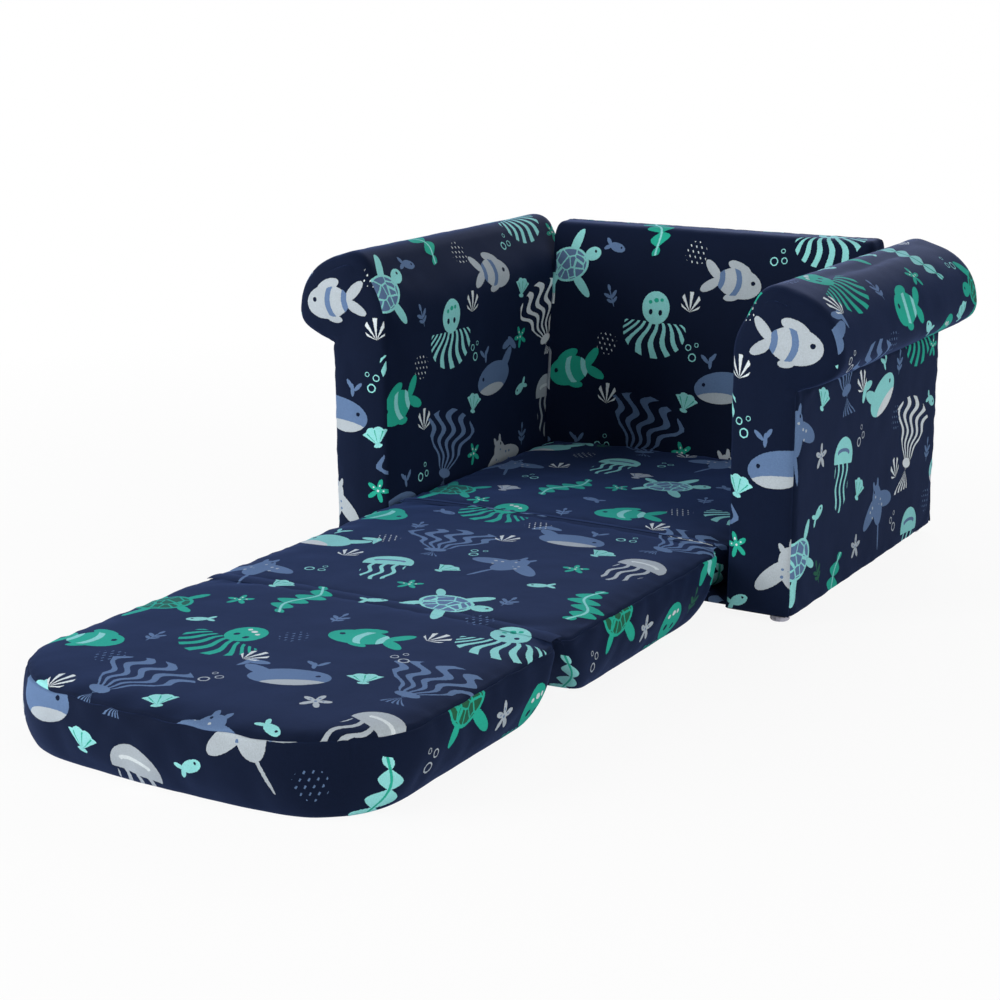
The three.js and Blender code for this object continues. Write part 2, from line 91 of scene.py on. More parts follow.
class CushionShape(bpy.types.PropertyGroup):
    """The three mattress panels."""

    gap: FloatProperty(
        name="Hinge gap", description="Gap between two panels at their hinge",
        default=0.003, min=0, unit="LENGTH")
    width: FloatProperty(
        name="Width", description="Width of the top seam from side to side",
        default=0.355, min=0.01, unit="LENGTH")
    crown: FloatProperty(
        name="Crown", description="Rise of the middle over the sides",
        default=0.0035, min=0, unit="LENGTH")
    sink: FloatProperty(
        name="Sink", description="How far the top cloth lies under the fold line, not inflated",
        default=0.0028, min=0, unit="LENGTH")
    edge_drop: FloatProperty(
        name="Edge drop", description="Drop of the top along its free seams",
        default=0.003, min=0, unit="LENGTH")
    swell: FloatProperty(
        name="Border swell", description="How far the border stands out at half height",
        default=0.0025, unit="LENGTH")
    tuck: FloatProperty(
        name="Bottom tuck", description="How far the border draws in at the floor",
        default=0.014, min=0, unit="LENGTH")
    notch: FloatProperty(
        name="Notch", description="How far the middle panel's front draws back, beside the tuck",
        default=0.034, min=0, unit="LENGTH")
    top_corner: FloatProperty(
        name="Top corner radius", description="Corner radius of the top at a hinge",
        default=0.016, min=0.001, unit="LENGTH")
    bottom_corner: FloatProperty(
        name="Bottom corner radius", description="Corner radius at the floor by a hinge",
        default=0.036, min=0.001, unit="LENGTH")
    front_corner: FloatProperty(
        name="Front corner radius", description="Corner radius of the front panel's free end",
        default=0.094, min=0.001, unit="LENGTH")
    front_bow: FloatProperty(
        name="Front bow", description="How far the free end bows forward between its corners",
        default=0.022, min=0, unit="LENGTH")
    cell: FloatProperty(
        name="Cell", description="Size of the mesh cells before the cloth is inflated",
        default=0.0105, min=0.004, unit="LENGTH")
    strip: FloatProperty(
        name="Hinge cloth", description="How far the top cloth reaches over a panel at a hinge",
        default=0.009, min=0.001, unit="LENGTH")
    gusset_lower: FloatProperty(
        name="Gusset, lower part", description="Cloth let out at the lower seat hinge, folded",
        default=0.022, min=0.001, unit="LENGTH")
    gusset_upper: FloatProperty(
        name="Gusset, upper part", description="Cloth let out at the upper seat hinge, folded",
        default=0.062, min=0.001, unit="LENGTH")
    gusset_dip: FloatProperty(
        name="Gusset dip", description="How far the unfolded gusset dips between the two panels",
        default=0.0012, min=0, unit="LENGTH")


class ShellShape(bpy.types.PropertyGroup):
    """The two rolled arms and the backrest."""

    arm_width: FloatProperty(
        name="Arm width", description="Width of an arm under its roll",
        default=0.063, min=0.01, unit="LENGTH")
    roll_height: FloatProperty(
        name="Roll height", description="Height from the crease to the corner of the roll's top",
        default=0.092, min=0.01, unit="LENGTH")
    crease_radius: FloatProperty(
        name="Crease radius", description="Radius where the roll meets the outside panel",
        default=0.006, min=0.0005, unit="LENGTH")
    lip_radius: FloatProperty(
        name="Lip radius", description="Radius of the roll's lower edge",
        default=0.018, min=0.0005, unit="LENGTH")
    outer_radius: FloatProperty(
        name="Roll outer radius", description="Radius of the roll's outer shoulder",
        default=0.055, min=0.0005, unit="LENGTH")
    top_radius: FloatProperty(
        name="Roll top radius", description="Radius of the roll's top",
        default=0.02, min=0.0005, unit="LENGTH")
    inner_radius: FloatProperty(
        name="Roll inner radius", description="Radius where the roll runs into the inside face",
        default=0.06, min=0.0005, unit="LENGTH")
    facing: FloatProperty(
        name="Facing depth", description="Depth at which a facing is sewn to the arm's sides",
        default=0.004, min=0.001, unit="LENGTH")
    edge_round: FloatProperty(
        name="Edge round", description="Rounding of an arm's upright edges under the roll",
        default=0.006, min=0.001, unit="LENGTH")
    front_round: FloatProperty(
        name="Front round", description="Rounding of the roll's front edge",
        default=0.012, min=0.001, unit="LENGTH")
    rear_round: FloatProperty(
        name="Rear round", description="Rounding of the roll's rear edge",
        default=0.018, min=0.001, unit="LENGTH")
    fullness: FloatProperty(
        name="Fullness", description="How far the padded covers stand off the boards",
        default=0.0014, min=0, unit="LENGTH")
    back_round: FloatProperty(
        name="Backrest round", description="Rounding of the backrest's ends",
        default=0.0055, min=0.001, unit="LENGTH")
    back_top_radius: FloatProperty(
        name="Backrest top radius", description="Radius of the backrest's top front edge",
        default=0.017, min=0.001, unit="LENGTH")
    back_rear_radius: FloatProperty(
        name="Backrest rear radius", description="Radius of the backrest's top rear edge",
        default=0.005, min=0.001, unit="LENGTH")
    cell: FloatProperty(
        name="Cell", description="Size of the mesh cells before the cloth is inflated",
        default=0.0095, min=0.004, unit="LENGTH")


class ClothFinish(bpy.types.PropertyGroup):
    """How the covers are inflated and sewn."""

    pressure: FloatProperty(
        name="Pressure", description="Pressure that fills a cover while the cloth settles",
        default=3.0, min=0)
    frames: IntProperty(
        name="Frames", description="Frames for which the cloth settles", default=16, min=2)
    cushion_cap: FloatProperty(
        name="Cushion cap", description="Farthest that a point of a cushion may move",
        default=0.0022, min=0, unit="LENGTH")
    shell_cap: FloatProperty(
        name="Shell cap", description="Farthest that a point of an arm or the back may move",
        default=0.0012, min=0, unit="LENGTH")
    seam_depth: FloatProperty(
        name="Seam depth", description="Depth of the valley along a seam",
        default=0.0019, min=0, unit="LENGTH")
    seam_width: FloatProperty(
        name="Seam width", description="Half width of the valley along a seam",
        default=0.0018, min=0.0002, unit="LENGTH")
    pucker: FloatProperty(
        name="Pucker", description="Height of the small gathers beside a seam",
        default=0.0005, min=0, unit="LENGTH")
    pucker_reach: FloatProperty(
        name="Pucker reach", description="How far the gathers run from a seam",
        default=0.011, min=0.001, unit="LENGTH")
    slack: FloatProperty(
        name="Slack", description="Height of the broad soft waves in the cloth",
        default=0.0005, min=0, unit="LENGTH")


def swatch(name, description, value):
    """Colour property from its 0 to 255 screen values, kept as scene-linear by the sRGB curve."""
    linear = tuple(((c / 255 + 0.055) / 1.055) ** 2.4 if c > 10 else c / 3294.6 for c in value)
    return FloatVectorProperty(
        name=name, description=description, default=linear, size=3, min=0, max=1,
        subtype="COLOR")


class PrintColours(bpy.types.PropertyGroup):
    """Inks and layout of the printed velour."""

    navy: swatch("Navy", "Ground of the cloth", (14, 24, 46))
    mint: swatch("Mint", "Lightest blue-green ink", (150, 226, 224))
    teal: swatch("Teal", "Strong green ink", (42, 178, 152))
    slate: swatch("Slate", "Blue-grey ink", (98, 124, 162))
    grey: swatch("Grey", "Pale grey ink", (182, 192, 199))
    white: swatch("White", "White ink", (226, 235, 238))
    green: swatch("Green", "Dark green ink", (40, 96, 66))
    column: FloatProperty(
        name="Column pitch", description="Distance between two columns of large figures",
        default=0.098, min=0.01, unit="LENGTH")
    row: FloatProperty(
        name="Row pitch", description="Distance between two large figures of one column",
        default=0.108, min=0.01, unit="LENGTH")
    large: FloatProperty(
        name="Large figure", description="Half size of a large figure",
        default=0.041, min=0.001, unit="LENGTH")
    small: FloatProperty(
        name="Small figure", description="Half size of a small figure",
        default=0.0135, min=0.001, unit="LENGTH")


class StageSetup(bpy.types.PropertyGroup):
    """Camera, lights and floor."""

    eye: FloatVectorProperty(
        name="Camera place", description="Where the camera stands",
        default=(0.90716, -1.49826, 0.57159), size=3, subtype="XYZ", unit="LENGTH")
    azimuth: FloatProperty(
        name="Azimuth", description="Direction of the camera round the object, from the front",
        default=math.radians(30.96), subtype="ANGLE")
    elevation: FloatProperty(
        name="Elevation", description="Height of the camera as an angle",
        default=math.radians(14.79), subtype="ANGLE")
    roll: FloatProperty(
        name="Roll", description="Turn of the camera about its own axis",
        default=math.radians(-0.30), subtype="ANGLE")
    lens: FloatProperty(
        name="Lens", description="Focal length on a 36 mm sensor", default=72.229, unit="CAMERA")
    key: FloatProperty(
        name="Key light", description="Power of the soft light at the front left",
        default=48, min=0, unit="POWER")
    fill: FloatProperty(
        name="Fill light", description="Power of the soft light at the front right",
        default=24, min=0, unit="POWER")
    top: FloatProperty(
        name="Top light", description="Power of the soft light overhead",
        default=6, min=0, unit="POWER")
    rear: FloatProperty(
        name="Rear light", description="Power of the soft light behind the backrest",
        default=20, min=0, unit="POWER")
    sky: FloatProperty(
        name="Sky", description="Strength of the even light from all round",
        default=0.08, min=0)
    floor_size: FloatProperty(
        name="Floor size", description="Width of the floor", default=16, min=1, unit="LENGTH")
    floor_glow: FloatProperty(
        name="Floor glow", description="Share of the floor seen as plain white beside the sofa",
        default=0.88, min=0, max=1, subtype="FACTOR")
    floor_fade: FloatProperty(
        name="Floor fade", description="Distance at which the floor is seen as plain white alone",
        default=1.5, min=0.1, unit="LENGTH")


GROUPS = {
    "sofa_cushions": CushionShape,
    "sofa_shell": ShellShape,
    "sofa_cloth": ClothFinish,
    "sofa_print": PrintColours,
    "sofa_stage": StageSetup,
}


# Meshes

CLOTH = {
    "quality": 6, "mass": 0.3, "tension_stiffness": 12, "compression_stiffness": 6,
    "shear_stiffness": 4, "bending_stiffness": 0.4, "shrink_min": -0.015,
    "use_pressure": True, "vertex_group_mass": "held",
}
# Noise of the sewn cloth: coarse and fine scale per metre, and the fine one's share
GATHERS, WAVES = (130, 260, 0.5), (22, 47, 0.6)
GATHER_GAIN = 6.75  # brings the highest gathers, a third of their reach from the seam, to 1
WAVE_REACH = 0.02  # distance from a seam at which the waves are full
FULL_RISE, FULL_LEAST = 0.03, 0.15  # height over which the fullness grows, and its least share
ROUND_STEP = math.radians(9)
DOME_ACROSS, DOME_UP = 2.2, 8  # how square an end's dome is
FACE, TOP, FAR, BOTTOM, END = range(5)  # which part of a bolster a face lies on
FACES_PER_FACE = 4  # what a subdivision makes of one face
NO_SEAM = 1.0  # seam distance of a point that has no seam near it


def smooth_mesh(name, points, faces, uvs, seams=None):
    """New object from points, faces and one UV per face corner, with seam distances."""
    mesh = bpy.data.meshes.new(name)
    mesh.from_pydata([tuple(p) for p in points], [], faces)
    layer = mesh.uv_layers.new(name=UV_NAME)
    layer.data.foreach_set("uv", np.asarray(uvs, dtype=np.float32).ravel())
    mesh.polygons.foreach_set("use_smooth", [True] * len(mesh.polygons))
    if seams is not None:
        attribute = mesh.attributes.new("seam", "FLOAT", "POINT")
        attribute.data.foreach_set("value", np.asarray(seams, dtype=np.float32))
    mesh.update()
    obj = bpy.data.objects.new(name, mesh)
    bpy.context.scene.collection.objects.link(obj)
    return obj


def read_points(mesh):
    """Vertex positions as an array."""
    points = np.empty(len(mesh.vertices) * 3, dtype=np.float32)
    mesh.vertices.foreach_get("co", points)
    return points.reshape(-1, 3).astype(float)


def write_points(mesh, points):
    """Puts the vertices at the given positions."""
    mesh.vertices.foreach_set("co", np.asarray(points, dtype=np.float32).ravel())
    mesh.update()


def read_normals(mesh):
    """Vertex normals as an array."""
    normals = np.empty(len(mesh.vertices) * 3, dtype=np.float32)
    mesh.vertex_normals.foreach_get("vector", normals)
    return normals.reshape(-1, 3).astype(float)


def face_outward(obj):
    """Turns the faces of a closed body so that they look outward."""
    shell = bmesh.new()
    shell.from_mesh(obj.data)
    volume = shell.calc_volume(signed=True)
    shell.free()
    if volume < 0:
        obj.data.flip_normals()


def stations(length, fine, step):
    """Places along a length, close together by both ends and even between them."""
    ends = [f for f in fine if f < length / 2 - step / 2]
    middle = length - 2 * ends[-1]
    count = max(2, round(middle / step))
    inner = [ends[-1] + middle * i / count for i in range(1, count)]
    return np.array(ends + inner + [length - f for f in reversed(ends)])


def inflate(obj, held, cap):
    """Fills a closed cover with air as cloth does, with the seams held and the travel capped."""
    finish = bpy.context.scene.sofa_cloth
    start = read_points(obj.data)
    group = obj.vertex_groups.new(name="held")
    for index, weight in enumerate(held):
        if weight > 0:
            group.add([index], float(weight), "REPLACE")
    modifier = obj.modifiers.new("Cloth", "CLOTH")
    for key, value in CLOTH.items():
        setattr(modifier.settings, key, value)
    modifier.settings.uniform_pressure_force = finish.pressure
    modifier.settings.effector_weights.gravity = 0
    modifier.point_cache.frame_start = 1
    modifier.point_cache.frame_end = finish.frames
    scene = bpy.context.scene
    for step in range(1, finish.frames + 1):
        scene.frame_set(step)
    shaped = obj.evaluated_get(bpy.context.evaluated_depsgraph_get())
    moved = read_points(shaped.data) - start
    obj.modifiers.remove(modifier)
    obj.vertex_groups.remove(group)
    scene.frame_set(1)
    travel = np.linalg.norm(moved, axis=1)
    share = np.where(travel > TINY, cap * np.tanh(travel / cap) / np.maximum(travel, TINY), 0)
    write_points(obj.data, start + moved * share[:, None])


def subdivide(obj):
    """One level of smooth subdivision, made part of the mesh."""
    modifier = obj.modifiers.new("Smooth", "SUBSURF")
    modifier.levels = 1
    modifier.boundary_smooth = "PRESERVE_CORNERS"
    shaped = obj.evaluated_get(bpy.context.evaluated_depsgraph_get())
    mesh = bpy.data.meshes.new_from_object(shaped)
    obj.modifiers.remove(modifier)
    old = obj.data
    obj.data = mesh
    bpy.data.meshes.remove(old)
    mesh.name = obj.name


def ripple(place, coarse, fine, fine_share):
    """Noise of two sizes at a place."""
    return noise.noise(place * coarse) + fine_share * noise.noise(place * fine)


def sew(obj, seed, lowest, fullness=0.0, above=0.0):
    """Presses the seams in, gathers the cloth beside them, adds soft waves and a fuller top."""
    finish = bpy.context.scene.sofa_cloth
    mesh = obj.data
    points = read_points(mesh)
    normals = read_normals(mesh)
    seam = np.empty(len(mesh.vertices), dtype=np.float32)
    mesh.attributes["seam"].data.foreach_get("value", seam)
    reach = np.minimum(seam / finish.pucker_reach, 1)
    beside = reach * (1 - reach) ** 2 * GATHER_GAIN
    lift = np.empty(len(points))
    for i, point in enumerate(points):
        place = Vector(point) + Vector((seed, 0, 0))
        gather = finish.pucker * beside[i] * ripple(place, *GATHERS)
        wave = finish.slack * ripple(place, *WAVES) * min(1, seam[i] / WAVE_REACH)
        lift[i] = gather + wave
    lift += fullness * np.clip((points[:, 2] - above) / FULL_RISE, FULL_LEAST, 1)
    lift -= finish.seam_depth * np.exp(-((seam / finish.seam_width) ** 2))
    points += normals * lift[:, None]
    points[:, 2] = np.maximum(points[:, 2], lowest)
    write_points(mesh, points)


def panels_of(obj, names, panel_of_face):
    """Cuts a sewn cover into its cloth pieces by the panel number of each face."""
    mesh = obj.data
    points = read_points(mesh)
    corners = np.empty(len(mesh.loops), dtype=np.int32)
    mesh.loops.foreach_get("vertex_index", corners)
    uvs = np.empty(len(mesh.loops) * 2, dtype=np.float32)
    mesh.uv_layers[UV_NAME].data.foreach_get("uv", uvs)
    uvs = uvs.reshape(-1, 2)
    pieces = []
    for number, name in enumerate(names):
        chosen = [p for p in mesh.polygons if panel_of_face[p.index] == number]
        loops = [i for p in chosen for i in p.loop_indices]
        used, index = np.unique(corners[loops], return_inverse=True)
        faces = []
        at = 0
        for polygon in chosen:
            count = len(polygon.loop_indices)
            faces.append(index[at:at + count].tolist())
            at += count
        pieces.append(smooth_mesh(name, points[used], faces, uvs[loops]))
    bpy.data.objects.remove(obj)
    return pieces


def rounded(corners):
    """Open line through (x, z, radius) corners with each inner corner filleted."""
    points = [Vector(corners[0][:2])]
    for before, here, after in zip(corners, corners[1:], corners[2:]):
        vertex = Vector(here[:2])
        into = (vertex - Vector(before[:2])).normalized()
        out = (Vector(after[:2]) - vertex).normalized()
        turn = math.atan2(into.x * out.y - into.y * out.x, into.dot(out))
        radius = here[2]
        reach = radius * math.tan(abs(turn) / 2)
        start = vertex - into * reach
        side = Vector((-into.y, into.x)) * math.copysign(radius, turn)
        centre = start + side
        count = max(3, math.ceil(abs(turn) / ROUND_STEP))
        for i in range(count + 1):
            arm = -side
            arm.rotate(Matrix.Rotation(turn * i / count, 2))
            points.append(centre + arm)
    points.append(Vector(corners[-1][:2]))
    return np.array([tuple(p) for p in points])


def lengths_along(line):
    """Distance of each point of a line from its start, along the line."""
    steps = np.linalg.norm(np.diff(line, axis=0), axis=1)
    return np.concatenate([[0], np.cumsum(steps)])


def resample(line, places):
    """Points of a line at the given distances along it."""
    along = lengths_along(line)
    return np.stack([np.interp(places, along, line[:, k]) for k in (0, 1)], axis=1)


def bolster(name, chains, depth, rounds, caps, fine_ends, cell, dome, place, seams):
    """Closed upholstered body with one outline all along, rounded at both ends.

    chains are four lines of outline points, counter-clockwise seen from the front: up the face,
    over the top, down the far side and back along the bottom. rounds gives the rounding of each
    outline point at the front and the rear, and caps how deep the two end pieces reach. place
    turns outline and depth into a position, and seams gives a point's distance to its seam.
    Returns the object, the part, outline point and depth of each face, and the number of
    outline points.
    """
    face, top, far, bottom = chains
    loop = np.concatenate([face[:-1], top[:-1], far[:-1], bottom[:-1]])
    count = len(loop)
    along = lengths_along(np.concatenate([loop, loop[:1]]))
    ahead = np.roll(loop, -1, axis=0) - np.roll(loop, 1, axis=0)
    ahead /= np.linalg.norm(ahead, axis=1)[:, None]
    inward = np.stack([ahead[:, 1], -ahead[:, 0]], axis=1)
    levels = stations(depth, fine_ends, cell)
    points, seam_gap = [], []
    insets, spreads, around = [], [], []
    for level in levels:
        near, reach = (level, rounds[0]) if level < depth / 2 else (depth - level, rounds[1])
        left = np.maximum(0.0, 1 - near / reach)
        inset = (reach * (1 - np.sqrt(1 - left * left)))[:, None]
        insets.append(inset)
        bend = np.arccos(left)
        spreads.append(loop + inward * (reach * (1 - bend))[:, None])
        flat = np.where(near < reach, reach * (1 - math.pi / 2 + bend), near)
        around.append(flat if level < depth / 2 else depth - flat)
        ring = loop + inward * inset
        points += [place(p[0], p[1], level) for p in ring]
        seam_gap += [seams(i, level) for i in range(count)]
    quads, uvs, panel = [], [], []
    chain_ends = np.cumsum([len(chain) - 1 for chain in chains])
    for j in range(len(levels) - 1):
        middle = (levels[j] + levels[j + 1]) / 2
        for i in range(count):
            n = (i + 1) % count
            cells = ((j, i, i), (j, n, i + 1), (j + 1, n, i + 1), (j + 1, i, i))
            quads.append([row * count + k for row, k, _ in cells])
            if caps[0] < middle < depth - caps[1]:
                uvs += [(around[row][k], along[a]) for row, k, a in cells]
            else:
                uvs += [tuple(spreads[row][k]) for row, k, _ in cells]
            panel.append((int(np.searchsorted(chain_ends, i, side="right")), i, middle))
    rows, across = len(face) - 1, len(top) - 1
    for end, bulge_at, way in ((0, 0, -1), (-1, depth, 1)):
        base = (len(levels) - 1) * count if end else 0
        ring = loop + inward * insets[end]
        index = {}
        for r in range(rows + 1):
            index[(r, 0)] = base + r
            index[(r, across)] = base + (rows + across + (rows - r)) % count
        for c in range(across + 1):
            index[(rows, c)] = base + rows + c
            index[(0, c)] = base + (count - c) % count

        def at(r, c):
            return ring[index[(r, c)] - base]

        flat = {}
        for r in range(rows + 1):
            for c in range(across + 1):
                s, t = r / rows, c / across
                if (r, c) in index:
                    flat[(r, c)] = at(r, c)
                    continue
                lines = (1 - t) * at(r, 0) + t * at(r, across)
                ends = (1 - s) * at(0, c) + s * at(rows, c)
                corners = ((1 - s) * ((1 - t) * at(0, 0) + t * at(0, across))
                           + s * ((1 - t) * at(rows, 0) + t * at(rows, across)))
                flat[(r, c)] = lines + ends - corners
                bulge = (dome[end] * (1 - abs(2 * t - 1) ** DOME_ACROSS)
                         * (1 - abs(2 * s - 1) ** DOME_UP))
                index[(r, c)] = len(points)
                points.append(place(*flat[(r, c)], bulge_at + way * bulge))
                seam_gap.append(NO_SEAM)
        for r in range(rows):
            for c in range(across):
                cells = [(r, c), (r, c + 1), (r + 1, c + 1), (r + 1, c)]
                if end:
                    cells.reverse()
                quads.append([index[k] for k in cells])
                uvs += [tuple(flat[k]) for k in cells]
                panel.append((END, r, bulge_at))
    body = smooth_mesh(name, points, quads, uvs, seam_gap)
    face_outward(body)
    return body, panel, count


# Mattress

PAD_FINE = [0, 0.0016, 0.0038, 0.0075, 0.013]  # mesh places beside a panel's edges
BORDER_RISES = [0.975, 0.94, 0.88, 0.76, 0.6, 0.44, 0.28, 0.14, 0.05, 0.0]  # shares of its height
ROUNDING_POWER = 3  # how sharply crown and swell set in towards the edges
EDGE_DROP_REACH = 0.0065
BOW_POWER, BOW_REACH_SHARE, BOW_FADE_POWER = 2.2, 0.55, 1.5
SWELL_POWER, TUCK_POWER, LEAN_POWER = 0.8, 2.2, 1.15
HINGE_DRAW = 0.5  # how far a border draws in at a hinge, as a share of the swell
NOSE_AT_FLOOR, NOSE_GAIN = 0.78, 0.22  # the free end's corner radius at the floor, and its growth
HELD_ROWS = (1.0, 0.4)  # how firmly the rows by a top seam are held
HELD_RISE = 0.1  # share of the height up to which a border is held
STRIP_LIFT = 0.0016  # hinge cloth over the panels' tops
STRIP_COLUMNS = 61
STRIP_INSET_SHARE = 0.35  # of a corner's radius, by which hinge cloth ends inside the sides
BAND_COLUMNS = 73
RIPPLE, RIPPLE_SCALE, RIPPLE_SEED = 0.0003, 60, 5.0
APRON_SKIN, APRON_HAIR = 0.0002, 0.00004  # cloth off the board, and off the cloth over it
APRON_BEND = 0.0005  # corner of the base board's cloth
APRON_OUT, APRON_INSET, APRON_SHORT = 0.0014, 0.001, 0.01  # front edge; inside arms; under the seat
REAR_APRON_OUT, REAR_APRON_INSET, REAR_APRON_DROP = 0.0008, 0.0006, 0.0001
TOUCH = 1e-6


def top_height(level, x, gap):
    """Height of a panel's top at x, where gap is the distance from its free seam."""
    shape = bpy.context.scene.sofa_cushions
    crown = shape.crown * min(1.0, abs(x) / (shape.width / 2)) ** ROUNDING_POWER
    return level - crown - shape.edge_drop * math.exp(-gap / EDGE_DROP_REACH)


def cushion_mesh(name, front, rear, free_front, floor, lean):
    """Boxed cushion with a crowned top, a swelling border and a drawn-in bottom.

    lean is how far its front draws back at the floor, beside the tuck. Returns the object and
    how firmly each point is held while the cushion is inflated.
    """
    shape = bpy.context.scene.sofa_cushions
    half = shape.width / 2
    depth = rear - front
    middle = front + depth / 2
    xs = stations(shape.width, PAD_FINE, shape.cell) - half
    ys = stations(depth, PAD_FINE, shape.cell) + front
    columns, rows = len(xs) - 1, len(ys) - 1
    thickness = PAD_TOP - shape.sink

    def outline(x, y, inset, front_radius, rear_radius):
        """Point of the inset rectangle moved onto its rounded corners and bowed front."""
        in_front = y < middle
        radius = max((front_radius if in_front else rear_radius) - inset, 0.0)
        cx = math.copysign(half - inset - radius, x)
        cy = front + inset + radius if in_front else rear - inset - radius
        if abs(x) > abs(cx) and (y < cy if in_front else y > cy) and radius > 0:
            out = Vector((x - cx, y - cy))
            if out.length > TINY:
                out = out.normalized() * radius
                x, y = cx + out.x, cy + out.y
        if free_front:
            fade = max(0.0, 1 - (y - front) / (BOW_REACH_SHARE * depth))
            y += shape.front_bow * (abs(x) / half) ** BOW_POWER * fade ** BOW_FADE_POWER
        return x, y

    def edge_inset(i, j):
        """How many rows a grid point lies in from the edge, and how far."""
        k = min(i, columns - i, j, rows - j)
        if k < len(PAD_FINE):
            return k, PAD_FINE[k]
        return k, min(half - abs(xs[i]), ys[j] - front, rear - ys[j])

    points, seam, held = [], [], []
    top = {}
    nose = shape.front_corner if free_front else shape.top_corner
    for j, y in enumerate(ys):
        for i, x in enumerate(xs):
            k, inset = edge_inset(i, j)
            px, py = outline(x, y, inset, nose, shape.top_corner)
            gap = half - abs(x)
            if free_front:
                gap = min(gap, y - front)
            top[(i, j)] = len(points)
            points.append((px, py, top_height(thickness, px, gap)))
            seam.append(gap)
            held.append(HELD_ROWS[k] if k < len(HELD_ROWS) else 0.0)

    ring = [(i, 0) for i in range(columns)] + [(columns, j) for j in range(rows)]
    ring += [(i, rows) for i in range(columns, 0, -1)] + [(0, j) for j in range(rows, 0, -1)]
    border = {(0, n): top[key] for n, key in enumerate(ring)}
    seam_height = [points[top[key]][2] for key in ring]
    for level, rise in enumerate(BORDER_RISES, start=1):
        bulge = math.sin(math.pi * rise)
        swell = shape.swell * bulge ** SWELL_POWER
        tuck = shape.tuck * (1 - rise) ** TUCK_POWER
        radius = shape.bottom_corner + (shape.top_corner - shape.bottom_corner) * rise
        nose = shape.front_corner * (NOSE_AT_FLOOR + NOSE_GAIN * rise) if free_front else radius
        for n, (i, j) in enumerate(ring):
            px, py = outline(xs[i], ys[j], 0.0, nose, radius)
            in_front = py < middle
            out = (swell - tuck) * min(1.0, abs(px) / half)
            push = (swell if free_front and in_front else -HINGE_DRAW * shape.swell * bulge) - tuck
            if in_front:
                push -= lean * (1 - rise) ** LEAN_POWER
            toward = (py - middle) / (depth / 2)
            px += out * math.copysign(abs(px / half) ** ROUNDING_POWER, px)
            py += push * math.copysign(abs(toward) ** ROUNDING_POWER, toward)
            z = floor + (seam_height[n] - floor) * rise
            border[(level, n)] = len(points)
            points.append((px, py, z))
            at_hinge = ys[j] >= rear - TOUCH or (not free_front and ys[j] <= front + TOUCH)
            seam.append(NO_SEAM if at_hinge else seam_height[n] - z)
            held.append(1.0 if rise < HELD_RISE else 0.0)

    last = len(BORDER_RISES)
    bottom = {key: border[(last, n)] for n, key in enumerate(ring)}
    nose = shape.front_corner * NOSE_AT_FLOOR if free_front else shape.bottom_corner
    for j in range(1, rows):
        for i in range(1, columns):
            px, py = outline(xs[i], ys[j], edge_inset(i, j)[1], nose, shape.bottom_corner)
            drawn = shape.tuck + (lean if py < middle else 0.0)
            py = middle + (py - middle) * (1 - drawn / (depth / 2))
            bottom[(i, j)] = len(points)
            points.append((px * (1 - shape.tuck / half), py, floor))
            seam.append(NO_SEAM)
            held.append(1.0)

    quads, uvs = [], []
    for j in range(rows):
        for i in range(columns):
            square = [(i, j), (i + 1, j), (i + 1, j + 1), (i, j + 1)]
            over = [top[key] for key in square]
            quads.append(over)
            uvs += [(points[c][0], points[c][1]) for c in over]
            under = [bottom[square[k]] for k in (0, 3, 2, 1)]
            quads.append(under)
            uvs += [(points[c][0], -points[c][1]) for c in under]
    count = len(ring)
    seam_line = np.array([points[border[(0, n % count)]][:2] for n in range(count + 1)])
    walk = lengths_along(seam_line)
    for level in range(last):
        for n in range(count):
            m = (n + 1) % count
            cells = [border[(level + 1, n)], border[(level + 1, m)],
                     border[(level, m)], border[(level, n)]]
            quads.append(cells)
            places = [walk[n], walk[n + 1], walk[n + 1], walk[n]]
            uvs += [(s, points[c][2]) for s, c in zip(places, cells)]
    cushion = smooth_mesh(name, points, quads, uvs, seam)
    face_outward(cushion)
    return cushion, held


def make_cushion(name, front, rear, free_front, floor, body, nodes, seed, lean=0.0):
    """One mattress panel, inflated, sewn, dressed and tied to its CAD body."""
    obj, held = cushion_mesh(name, front, rear, free_front, floor, lean)
    inflate(obj, held, bpy.context.scene.sofa_cloth.cushion_cap)
    subdivide(obj)
    sew(obj, seed, floor)
    dress(obj, "printed_velour")
    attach(obj, body)
    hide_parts(*nodes)


def hinge_strip(name, rows, lift):
    """Top cloth that runs over a hinge. Each row of it is its y and its place on the print."""
    shape = bpy.context.scene.sofa_cushions
    half = shape.width / 2 - shape.top_corner * STRIP_INSET_SHARE
    level = PAD_TOP - shape.sink + STRIP_LIFT
    across = np.linspace(-half, half, STRIP_COLUMNS)
    points, uvs, quads = [], [], []
    for y, _ in rows:
        height = lift(y)
        points += [(x, y, top_height(level, x, shape.width / 2 - abs(x)) + height) for x in across]
    for j in range(len(rows) - 1):
        if abs(rows[j][0] - rows[j + 1][0]) < TINY:
            continue
        for i in range(STRIP_COLUMNS - 1):
            a = j * STRIP_COLUMNS + i
            cells = [a, a + STRIP_COLUMNS, a + STRIP_COLUMNS + 1, a + 1]
            quads.append(cells)
            uvs += [(points[c][0], rows[c // STRIP_COLUMNS][1]) for c in cells]
    return smooth_mesh(name, points, quads, uvs)


def even_rows(start, end, count, print_start=None, print_end=None):
    """Rows of a strip from one y to another. The print follows y if no place is given for it."""
    if print_start is None:
        print_start, print_end = start, end
    return list(zip(np.linspace(start, end, count), np.linspace(print_start, print_end, count)))


